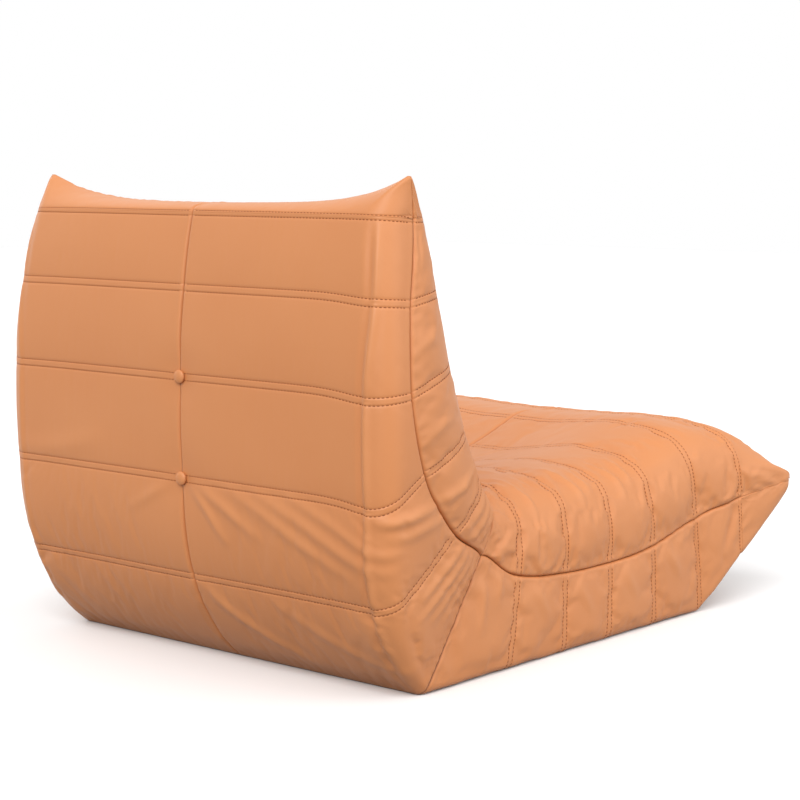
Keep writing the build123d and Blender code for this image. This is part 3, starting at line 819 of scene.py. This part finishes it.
def sag(grid, side):
    """How far the cover hangs down by the side seam and at the rear corner, more on the sitter's right."""
    fall = curve_through(seam_sag, grid.row) * climb(grid.across, sag_from, sag_length) ** 2
    if grid.panel.outside:
        fall = fall + curve_through(corner_sag, grid.row) * bump(grid.across - corner_across, corner_spread)
    return sag_shares[side] * fall


def blunting(grid):
    """Move that blunts the nose tip: back along its way by a hump of the distance from it."""
    tip = np.array((tip_half_width, *nose_tip))
    return -tip_blunting * bump(np.linalg.norm(grid.points - tip, axis=-1), tip_round)[..., None] * tip_way


def tuck(grid):
    """How far seams draw the cover in: a narrow groove at the side seam and at the crease seam's ends."""
    at_crease = (grid.nearest == crease_row) * climb(grid.across, tuck_from, tuck_length)
    drawn = np.maximum(np.exp(-grid.side_gap / tuck_width), at_crease * np.exp(-grid.row_gap / tuck_width))
    within = climb(grid.row, *tuck_first) * climb(grid.row, *tuck_last)
    return seam_tuck * drawn * within


def dress(grid, side):
    """Finished cover surface of a panel: its grid moved along its normals by the relief."""
    sign = sides[side]
    relief = quilting(grid, sign) + corner_edge(grid, side) + fold_relief(grid, side)
    on_floor = climb(grid.points[..., 2], 0, floor_fade) if grid.panel.outside else 1.0
    relief = relief * seam_fade(grid) * button_fade(grid) * on_floor
    if grid.panel.start == 0:
        relief = relief - seam_tuck * np.exp(-grid.middle_gap / tuck_width) * button_fade(grid) * on_floor
    points = grid.points + relief[..., None] * grid.normal + blunting(grid)
    points[..., 0] -= tuck(grid) * on_floor
    points[..., 2] -= sag(grid, side)
    points = points * (sign, 1, 1)
    points = points + slack_move(grid, side) * (settling(grid) * button_fade(grid))[..., None]
    points[..., 2] = np.maximum(points[..., 2], 0.0)
    return points, relief


# Stitching
stitch_pitch = 6.0
stitch_length = 4.0
stitch_radius = 0.7
stitch_sides = 6
stitch_taper = 0.22
stitch_lift = 0.3
floor_stitch = 2.0


def spindle(starts, ends, normals):
    """Short thread between each start and end: a six-sided bar that tapers to a point at both ends."""
    way = ends - starts
    length = np.linalg.norm(way, axis=-1, keepdims=True)
    way = way / length
    beside = np.cross(way, normals)
    turn = np.linspace(0, 2 * np.pi, stitch_sides, endpoint=False)
    ring = stitch_radius * (
        np.cos(turn)[:, None] * beside[:, None] + 0.8 * np.sin(turn)[:, None] * normals[:, None]
    )
    first = (starts + stitch_taper * length * way)[:, None] + ring
    second = (ends - stitch_taper * length * way)[:, None] + ring
    points = np.concatenate([starts[:, None], first, second, ends[:, None]], axis=1)
    a = np.arange(stitch_sides)
    b = np.roll(a, -1)
    far = 2 * stitch_sides + 1
    corners = np.concatenate([
        np.stack([np.zeros_like(a), 1 + b, 1 + a], -1),
        np.stack([1 + a, 1 + b, 1 + stitch_sides + b], -1),
        np.stack([1 + a, 1 + stitch_sides + b, 1 + stitch_sides + a], -1),
        np.stack([np.full_like(a, far), 1 + stitch_sides + a, 1 + stitch_sides + b], -1),
    ])
    offset = np.arange(len(points))[:, None, None] * points.shape[1]
    return points.reshape(-1, 3), (corners[None] + offset).reshape(-1, 3)


def along_line(places, travel, values):
    """Values at places along a line, by straight steps between its points."""
    return np.stack([np.interp(places, travel, values[:, k]) for k in range(3)], -1)


def stitch_places(line, normals):
    """Starts, ends and normals of the stitches along a line of points, at an even pitch."""
    travel = np.concatenate([[0], np.cumsum(np.linalg.norm(np.diff(line, axis=0), axis=-1))])
    starts = np.arange(stitch_pitch / 2, travel[-1] - stitch_pitch, stitch_pitch)
    up = along_line(starts + stitch_length / 2, travel, normals)
    up = up / np.linalg.norm(up, axis=-1, keepdims=True)
    return along_line(starts, travel, line), along_line(starts + stitch_length, travel, line), up


def stitched_lines(grid):
    """Index of each grid line that carries stitching: those at the stitch offset beside a twin row."""
    middle = grid.row.shape[1] // 3
    on_line = np.abs(grid.row_gap[:, middle] - stitch_offset) < 0.01
    return np.flatnonzero(on_line & ~np.isin(grid.nearest[:, middle], plain_rows))


def make_stitching(grid, side, points, material):
    """All the stitches of a panel as one piece."""
    normals = grid_normals(points * (sides[side], 1, 1), grid.panel.outside) * (sides[side], 1, 1)
    visible = slice(3, -3)
    lines = points + stitch_lift * normals
    runs = [stitch_places(lines[k, visible], normals[k, visible]) for k in stitched_lines(grid)]
    starts, ends, up = (np.concatenate(part) for part in zip(*runs))
    clear = np.minimum(starts[:, 2], ends[:, 2]) > floor_stitch
    name = f"{grid.panel.name}_stitching_{side}"
    return make_mesh(name, *spindle(starts[clear], ends[clear], up[clear]), material)


# Finishes
def new_material(name, roughness, specular=0.5, metallic=0.0):
    """Material with its shader's plain values set; the rest is linked by the caller."""
    material = bpy.data.materials.new(name)
    material.use_nodes = True
    shader = material.node_tree.nodes["Principled BSDF"]
    shader.inputs["Roughness"].default_value = roughness
    shader.inputs["Specular IOR Level"].default_value = specular
    shader.inputs["Metallic"].default_value = metallic
    return material, material.node_tree.nodes, material.node_tree.links, shader


def ramp_over(nodes, links, factor, stops):
    """Colour of a ramp over a factor, with a colour at each place."""
    ramp = nodes.new("ShaderNodeValToRGB")
    while len(ramp.color_ramp.elements) < len(stops):
        ramp.color_ramp.elements.new(0.5)
    for element, (place, colour) in zip(ramp.color_ramp.elements, stops):
        element.position = place
        element.color = (*colour, 1)
    links.new(factor, ramp.inputs["Fac"])
    return ramp.outputs["Color"]


def bump_over(nodes, links, height, strength, depth):
    """Bump node over a height, with its depth in metres."""
    node = nodes.new("ShaderNodeBump")
    node.inputs["Strength"].default_value = strength
    node.inputs["Distance"].default_value = depth
    links.new(height, node.inputs["Height"])
    return node


def noise(nodes, links, scale, detail):
    """Noise over the piece's own place, so many to the metre."""
    place = nodes.new("ShaderNodeTexCoord")
    texture = nodes.new("ShaderNodeTexNoise")
    texture.inputs["Scale"].default_value = scale
    texture.inputs["Detail"].default_value = detail
    links.new(place.outputs["Object"], texture.inputs["Vector"])
    return texture


leather_tan = (0.600, 0.231, 0.082)
leather_deep = (0.575, 0.210, 0.070)
leather_pale = (0.628, 0.255, 0.097)
# Painted shade: the near black brown of the seam grooves
painted_seam_shade = (0.13, 0.035, 0.008)
thread_deep = (0.24, 0.070, 0.019)
thread_pale = (0.34, 0.106, 0.032)


def leatherette():
    """Soft grained leatherette: fine cells and creases in the bump, cloudy colour, paler on raised edges
    where it wears, with painted shade that deepens it in hollows and darkens its seams to near black.
    """
    material, nodes, links, shader = new_material("leatherette", roughness=0.5, specular=0.45)
    cloud = noise(nodes, links, scale=9, detail=4)
    shades = (0.20, leather_deep), (0.52, leather_tan), (0.88, leather_pale)
    tint = ramp_over(nodes, links, cloud.outputs["Fac"], shades)
    # Over the raised attribute: painted shade below its middle, deep in hollows and near black in seams;
    # paler wear on raised edges above it.
    wear_and_painted_shade = nodes.new("ShaderNodeAttribute")
    wear_and_painted_shade.attribute_name = "raised"
    shades = (0.0, painted_seam_shade), (0.15, leather_deep), (0.5, leather_tan), (1.0, leather_pale)
    edge = ramp_over(nodes, links, wear_and_painted_shade.outputs["Fac"], shades)
    mix = nodes.new("ShaderNodeMix")
    mix.data_type = "RGBA"
    mix.inputs["Factor"].default_value = 0.65
    links.new(tint, mix.inputs["A"])
    links.new(edge, mix.inputs["B"])
    links.new(mix.outputs["Result"], shader.inputs["Base Color"])
    place = nodes.new("ShaderNodeTexCoord")
    cells = nodes.new("ShaderNodeTexVoronoi")
    cells.feature = "DISTANCE_TO_EDGE"
    cells.inputs["Scale"].default_value = 750
    links.new(place.outputs["Object"], cells.inputs["Vector"])
    grain = bump_over(nodes, links, cells.outputs["Distance"], strength=0.10, depth=0.0004)
    creases = noise(nodes, links, scale=120, detail=5)
    soft = bump_over(nodes, links, creases.outputs["Fac"], strength=0.10, depth=0.0012)
    links.new(grain.outputs["Normal"], soft.inputs["Normal"])
    links.new(soft.outputs["Normal"], shader.inputs["Normal"])
    return material


def thread():
    """Twisted sewing thread, a little deeper than the cover."""
    material, nodes, links, shader = new_material("thread", roughness=0.6, specular=0.3)
    fibre = noise(nodes, links, scale=1500, detail=2)
    tint = ramp_over(nodes, links, fibre.outputs["Fac"], ((0.3, thread_deep), (0.7, thread_pale)))
    links.new(tint, shader.inputs["Base Color"])
    return material


def mottled(name, dark, pale, scale, roughness, depth, metallic=0.0):
    """Finish of a hidden or small piece: two shades and a bump from one noise."""
    material, nodes, links, shader = new_material(name, roughness, specular=0.3, metallic=metallic)
    texture = noise(nodes, links, scale, detail=4)
    tint = ramp_over(nodes, links, texture.outputs["Fac"], ((0.3, dark), (0.7, pale)))
    links.new(tint, shader.inputs["Base Color"])
    rough = bump_over(nodes, links, texture.outputs["Fac"], strength=0.5, depth=depth)
    links.new(rough.outputs["Normal"], shader.inputs["Normal"])
    return material


cover_leather = leatherette()
sewing_thread = thread()
cover_thickness = 1.4
seam_shade_width = 1.1
crease_shade_share = 0.35
seam_shade_reach = 20.0
shade_depth = 12.0
least_shade = 0.15
floor_gap = 0.3


def shade_points(piece, raised):
    """Stores the leather's painted shade and wear for each point: 0 in a seam, low in hollows, up to 1 where
    it stands up.
    """
    layer = piece.data.attributes.new("raised", "FLOAT", "POINT")
    layer.data.foreach_set("value", raised.astype(np.float32))


def seam_light(grid):
    """Painted shade of the seams: 0 in the bottom of a seam, 1 away from it."""
    crease_gap = np.where(grid.nearest == crease_row, crease_shade_share * grid.row_gap, seam_shade_reach)
    gap = np.minimum(grid.side_gap, crease_gap)
    if grid.panel.start == 0:
        gap = np.minimum(gap, grid.middle_gap)
    return 1 - np.exp(-((gap / seam_shade_width) ** 2))


def cover_panel(panel, side):
    """Cover panel with its stitching: a closed sheet one leather thick that stands for the solid panel."""
    grid = panel_grid(panel, cell, row_band, seam_band)
    points, relief = dress(grid, side)
    normal = grid.normal * (sides[side], 1, 1)
    inside = points - cover_thickness * normal
    inside[..., 2] = np.maximum(inside[..., 2], floor_gap)
    flip = (sides[side] > 0) == panel.outside
    both = np.concatenate([points.reshape(-1, 3), inside.reshape(-1, 3)])
    piece = make_mesh(f"{panel.name}_cover_{side}", both, shell_quads(*grid.row.shape, flip), cover_leather)
    # Painted shade in the hollows and seams, down to the seam colour, and paler wear on raised parts.
    level = cover_level + 0.5 * puff_heights[panel.name]
    raised = np.clip(0.5 + (relief - level) / shade_depth, least_shade, 1) * seam_light(grid)
    shade_points(piece, np.concatenate([raised.ravel()] * 2))
    weld_points(piece.data)
    fit(piece, f"{panel.name}_panel_{side}")
    fit(make_stitching(grid, side, points, sewing_thread))
    return grid


covers = {(panel.name, side): cover_panel(panel, side) for panel in panels for side in sides}

# Wadding under the cover
wadding_depth = 12.0
wadding_inset = 3.6
wadding_edge = 1.0
wadding_reach = 12.0
wadding_floor_gap = 2.0
twin_row_ease = 25.0
white_wadding = mottled(
    "white_wadding", (0.80, 0.80, 0.78), (0.93, 0.93, 0.91), scale=260, roughness=0.95, depth=0.002
)


def wadding(node, parts):
    """Quilted wadding under the panels named, thinned towards its seams."""
    points, quads, count = [], [], 0
    for name, side in parts:
        grid = covers[name, side]
        thin = slice(None, None, 3)
        normal = (grid.normal * (sides[side], 1, 1))[thin, thin]
        row_gap = grid.row_gap + twin_row_ease * ~np.isin(grid.nearest, plain_rows)
        edge = np.minimum(row_gap, np.minimum(grid.side_gap, grid.middle_gap))
        depth = (wadding_edge + wadding_depth * (1 - np.exp(-edge / wadding_reach)))[thin, thin, None]
        top = (grid.points * (sides[side], 1, 1))[thin, thin] - wadding_inset * normal
        layers = np.concatenate([top.reshape(-1, 3), (top - depth * normal).reshape(-1, 3)])
        layers[:, 2] = np.maximum(layers[:, 2], wadding_floor_gap)
        flip = (sides[side] > 0) == grid.panel.outside
        points.append(layers)
        quads.append(shell_quads(*top.shape[:2], flip) + count)
        count += len(layers)
    piece = make_mesh(f"{node}_quilted", np.concatenate(points), np.concatenate(quads), white_wadding)
    fit(piece, node)


for part in ("back_rear", "back_front", "seat_top"):
    wadding(f"{part}_wadding", [(part, side) for side in sides])
for side in sides:
    wadding(f"seat_side_wadding_{side}", [("seat_side", side)])

# Covered buttons
button_radius = 10.0
button_base = 0.2
button_rim = 2.9
button_top = 7.1
button_fullness = 0.62
button_foot = (0.55, 0.86, 0.95)
button_foot_top = 1.2
button_pleats = 13
pleat_depth, pleat_height, pleat_reach = 0.018, 2.2, 1.8
button_segments = 52
front_out = np.cross((1, 0, 0), (0, *(front_top - crease)))
front_out = front_out / np.linalg.norm(front_out)
rear_out = np.array((0.0, 1.0, 0.0))


def covered_button(name, centre, out):
    """Leather button: small pleats at the rim under a dome, which is a cubic Bezier curve turned round."""
    t = np.linspace(0, 1, 12)[:-1]
    dome_r = button_radius * ((1 - t) ** 3 + 3 * t * (1 - t) ** 2 + 3 * button_fullness * t**2 * (1 - t))
    half = (button_rim + button_top) / 2
    low, high = (1 - t) ** 3 * button_rim + 3 * t * (1 - t) ** 2 * half, 3 * t**2 * (1 - t) + t**3
    radius = np.concatenate([button_foot, dome_r / button_radius]) * button_radius
    height = np.concatenate([[button_base, button_base, button_foot_top], low + high * button_top])
    turn = np.linspace(0, 2 * np.pi, button_segments, endpoint=False)
    pleat = 1 + pleat_depth * np.sin(button_pleats * turn) * bump(height[:, None] - pleat_height, pleat_reach)
    beside = np.cross(out, (1.0, 0, 0))
    ring = np.stack([np.cos(turn), np.sin(turn)], -1) @ np.stack([(1.0, 0, 0), beside])
    points = centre + (radius[:, None] * pleat)[..., None] * ring + height[:, None, None] * out
    ends = centre + np.array([[button_base], [button_top]]) * out
    points = np.concatenate([points.reshape(-1, 3), ends])
    index, after, walls = ring_walls(len(radius), button_segments)
    floor_fan = np.stack([after[0], index[0], np.full_like(index[0], index.size)], -1)
    roof_fan = np.stack([index[-1], after[-1], np.full_like(index[0], index.size + 1)], -1)
    faces = np.concatenate([walls, floor_fan, roof_fan])[:, ::-1]
    piece = make_mesh(f"{name}_leather", points, faces, cover_leather)
    shade_points(piece, np.full(len(points), 0.5))
    fit(piece, f"{name}_cap")


for level, row in zip(("upper", "lower"), button_rows):
    for face, outside, out in (("rear", True, rear_out), ("front", False, front_out)):
        covered_button(f"{face}_button_{level}", cover_point(row, 0.0, outside), out)

# Base cloth in two sheets, turned up into a gutter along the zip
zip_setback = 390.0
zip_y = rear_y - zip_setback
base_thickness = 1.2
base_edge = 0.4
gutter_half = 22.0
gutter_ledge = 16.0
gutter_depth = 5.0
zip_slot_half = 6.2
slot_gap = 0.2
tape_clearance = 0.8
slot_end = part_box("zip_tape_front")[1][0] / METRE + tape_clearance
gutter_end = 10.0
weave_wave = 0.5
wave_fade = 20.0
weave_dark = (0.035, 0.033, 0.032)
weave_pale = (0.062, 0.058, 0.055)


def woven():
    """Plain weave base cloth: crossed bands in the bump over two greys, with a little felted noise."""
    material, nodes, links, shader = new_material("base_weave", roughness=0.9, specular=0.2)
    place = nodes.new("ShaderNodeTexCoord")
    heights = []
    for direction in ("X", "Y"):
        bands = nodes.new("ShaderNodeTexWave")
        bands.bands_direction = direction
        bands.inputs["Scale"].default_value = 260
        links.new(place.outputs["Object"], bands.inputs["Vector"])
        heights.append(bands)
    cross = nodes.new("ShaderNodeMath")
    cross.operation = "ADD"
    links.new(heights[0].outputs["Fac"], cross.inputs[0])
    links.new(heights[1].outputs["Fac"], cross.inputs[1])
    weave = bump_over(nodes, links, cross.outputs["Value"], strength=0.5, depth=0.0005)
    links.new(weave.outputs["Normal"], shader.inputs["Normal"])
    felt = noise(nodes, links, scale=45, detail=5)
    tint = ramp_over(nodes, links, felt.outputs["Fac"], ((0.3, weave_dark), (0.7, weave_pale)))
    links.new(tint, shader.inputs["Base Color"])
    return material


base_weave = woven()


def base_sheet(name, side, far_y):
    """Base cloth between the floor panels: flat, with shallow waves, then up a slope to a ledge by the zip.

    Past the tapes the ledge closes the slot, and at the floor panels it comes down to the floor.
    """
    corners = np.array([
        (far_y, 0), (zip_y + side * gutter_half, 0),
        (zip_y + side * gutter_ledge, gutter_depth), (zip_y + side * zip_slot_half, gutter_depth),
    ])
    travel = np.concatenate([[0], np.cumsum(np.linalg.norm(np.diff(corners, axis=0), axis=-1))])
    steps = np.unique(np.concatenate([np.linspace(0, travel[-1], 60), travel]))
    half = base_half_width - base_edge
    x, at = np.meshgrid(np.linspace(-half, half, 81), steps)
    y, z = (np.interp(at, travel, corners[:, k]) for k in range(2))
    past_tape = (np.abs(x) > slot_end) * climb(at, travel[2], travel[3] - travel[2])
    y = y - side * (zip_slot_half - slot_gap) * past_tape
    z = z * climb(np.abs(x), half, -gutter_end)
    flat = climb(at, travel[1], -1.5 * wave_fade) * climb(at, 0, wave_fade)
    flat = flat * climb(np.abs(x), half, -wave_fade)
    wave = weave_wave * flat * (1 + np.sin(x / 23 + at / 61) * np.sin(at / 31 - x / 90))
    lower = np.stack([x, y, z + wave], -1)
    upper = lower + (0, 0, base_thickness)
    both = np.concatenate([lower.reshape(-1, 3), upper.reshape(-1, 3)])
    piece = make_mesh(f"{name}_sheet", both, shell_quads(*x.shape, side > 0), base_weave)
    fit(piece, name)


base_sheet("base_cloth_front", -1, nose_start_y + floor_row_shift[nose_row - crease_row] + base_edge)
base_sheet("base_cloth_rear", 1, heel_y - 2 * base_edge)

# Zip coil
coil_z = 6.8
coil_centre = 1.9
coil_half_length = 260.0
coil_pitch = 1.3
coil_wire = 0.34
coil_half_width = 1.3
coil_half_height = 1.1
turn_points = 12
wire_sides = 5


def zip_coil(name, side, material):
    """Coil of a closed zip: a wire on a flattened helix along X, half a pitch behind its partner."""
    count = int(2 * coil_half_length / coil_pitch - 2)
    angle = np.linspace(0, 2 * np.pi * count, count * turn_points + 1)
    wide, high = coil_half_width - coil_wire, coil_half_height - coil_wire
    start = -count * coil_pitch / 2 + side * coil_pitch / 4
    along = start + coil_pitch * angle / (2 * np.pi)
    line = np.stack([along, wide * np.cos(angle), high * np.sin(angle)], -1)
    away = np.stack([np.zeros_like(angle), np.cos(angle) * high, np.sin(angle) * wide], -1)
    away = away / np.linalg.norm(away, axis=-1, keepdims=True)
    turn = np.linspace(0, 2 * np.pi, wire_sides, endpoint=False)
    round_wire = np.cos(turn)[:, None] * away[:, None] + np.sin(turn)[:, None] * np.array((1.0, 0, 0))
    points = line[:, None] + coil_wire * round_wire
    points = points * (1, side, 1) + (0, zip_y + side * coil_centre, coil_z)
    index, after, walls = ring_walls(len(points), wire_sides)
    spokes = np.arange(1, wire_sides - 1)
    caps = np.stack([np.zeros_like(spokes), spokes + 1, spokes], -1)
    faces = np.concatenate([walls, caps, caps[:, ::-1] + index[-1, 0]])
    piece = make_mesh(f"{name}_wire", points, faces if side > 0 else faces[:, ::-1], material)
    fit(piece, name)


nylon = mottled(
    "zip_nylon", (0.05, 0.048, 0.045), (0.09, 0.085, 0.08), scale=900, roughness=0.4, depth=0.0001
)
zip_coil("zip_coil_front", -1, nylon)
zip_coil("zip_coil_rear", 1, nylon)


# Inside and small solids
def finish_solids(names, material):
    """Gives the named solids a finish in place of their plain one."""
    for name in names:
        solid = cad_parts[name].data
        solid.materials.clear()
        solid.materials.append(material)


def open_foam(name, dark, pale, cells):
    """Open-cell foam: pits of a cell pattern in the bump over a mottled pale colour."""
    material = mottled(name, dark, pale, scale=60, roughness=0.95, depth=0.001)
    nodes, links = material.node_tree.nodes, material.node_tree.links
    place = nodes.new("ShaderNodeTexCoord")
    pits = nodes.new("ShaderNodeTexVoronoi")
    pits.inputs["Scale"].default_value = cells
    links.new(place.outputs["Object"], pits.inputs["Vector"])
    pitted = bump_over(nodes, links, pits.outputs["Distance"], strength=0.6, depth=0.001)
    links.new(pitted.outputs["Normal"], nodes["Principled BSDF"].inputs["Normal"])
    return material


firm_foam = open_foam("firm_foam", (0.55, 0.50, 0.33), (0.66, 0.61, 0.43), cells=420)
soft_foam = open_foam("soft_foam", (0.72, 0.70, 0.62), (0.82, 0.80, 0.73), cells=300)
for kind, foam, fill in (("firm", firm_foam, 1.0), ("soft", soft_foam, 0.8)):
    for part in ("back", "seat"):
        finish_solids((f"{part}_{kind}_foam",), foam)
button_plates = [f"{face}_button_{level}_back" for face in ("rear", "front") for level in ("upper", "lower")]
plated_steel = mottled(
    "plated_steel", (0.45, 0.44, 0.42), (0.58, 0.57, 0.55), scale=300, roughness=0.4, depth=0.0002, metallic=1
)
finish_solids(button_plates, plated_steel)
waxed = mottled(
    "waxed_twine", (0.42, 0.34, 0.22), (0.60, 0.50, 0.34), scale=1400, roughness=0.7, depth=0.0004
)
finish_solids(("tuft_twine_upper", "tuft_twine_lower"), waxed)
finish_solids(("zip_tape_front", "zip_tape_rear"), base_weave)
bright_metal = mottled(
    "zip_metal", (0.56, 0.54, 0.50), (0.70, 0.68, 0.64), scale=500, roughness=0.32, depth=0.0001, metallic=1
)
finish_solids(("zip_stops", "zip_slider", "zip_pull"), bright_metal)


# Studio: white floor and surround, soft light from above
def soft_sun(name, toward, spread, strength):
    """Wide soft light from one direction, as from a large panel far off."""
    lamp = bpy.data.lights.new(name, "SUN")
    lamp.angle = np.radians(spread)
    lamp.energy = strength
    light = bpy.data.objects.new(name, lamp)
    bpy.context.scene.collection.objects.link(light)
    light.rotation_mode = "QUATERNION"
    light.rotation_quaternion = Vector(toward).to_track_quat("Z", "Y")


def white_rays(nodes, links, path):
    """1 for a ray from the camera, a reflection or a clear piece, 0 for the light that falls on a surface."""
    total = path.outputs["Is Camera Ray"]
    for kind in ("Is Glossy Ray", "Is Transmission Ray"):
        add = nodes.new("ShaderNodeMath")
        add.operation = "MAXIMUM"
        links.new(total, add.inputs[0])
        links.new(path.outputs[kind], add.inputs[1])
        total = add.outputs["Value"]
    return total


def surround():
    """World that lights the chair softly and looks white to the camera and in reflections."""
    world = bpy.data.worlds.new("studio")
    world.use_nodes = True
    nodes, links = world.node_tree.nodes, world.node_tree.links
    path = nodes.new("ShaderNodeLightPath")
    seen = white_rays(nodes, links, path)
    fill = nodes["Background"]
    fill.inputs["Color"].default_value = (1, 1, 1, 1)
    fill.inputs["Strength"].default_value = 0.6
    white = nodes.new("ShaderNodeBackground")
    white.inputs["Color"].default_value = (1, 1, 1, 1)
    white.inputs["Strength"].default_value = 1.0
    mix = nodes.new("ShaderNodeMixShader")
    links.new(seen, mix.inputs["Fac"])
    links.new(fill.outputs["Background"], mix.inputs[1])
    links.new(white.outputs["Background"], mix.inputs[2])
    links.new(mix.outputs["Shader"], nodes["World Output"].inputs["Surface"])
    bpy.context.scene.world = world


floor_half = 12000.0
floor_drop = 0.5
floor_dark = (0.08, 0.08, 0.08)
floor_white = (0.95, 0.95, 0.95)
floor_bounce = 0.12


def pale_floor():
    """Floor that looks white to the camera and in reflections, and throws little light back on the chair."""
    material, nodes, links, shader = new_material("pale_floor", roughness=0.9, specular=0.1)
    path = nodes.new("ShaderNodeLightPath")
    share = nodes.new("ShaderNodeMath")
    share.operation = "MULTIPLY_ADD"
    share.inputs[1].default_value = floor_bounce
    links.new(path.outputs["Is Diffuse Ray"], share.inputs[0])
    links.new(white_rays(nodes, links, path), share.inputs[2])
    tone = ramp_over(nodes, links, share.outputs["Value"], ((0.0, floor_dark), (1.0, floor_white)))
    links.new(tone, shader.inputs["Base Color"])
    corners = np.array([(-1, -1, 0), (1, -1, 0), (1, 1, 0), (-1, 1, 0)]) * floor_half - (0, 0, floor_drop)
    return make_mesh("floor", corners, np.array([[0, 1, 2, 3]]), material, smooth=False)


surround()
soft_sun("key", (-0.35, 0.70, 0.62), spread=45, strength=2.4)
soft_sun("side_fill", (-0.85, -0.28, 0.42), spread=60, strength=1.3)
soft_sun("left_fill", (0.95, -0.15, 0.22), spread=60, strength=0.8)
floor = pale_floor()

bpy.context.scene.view_settings.view_transform = "Standard"
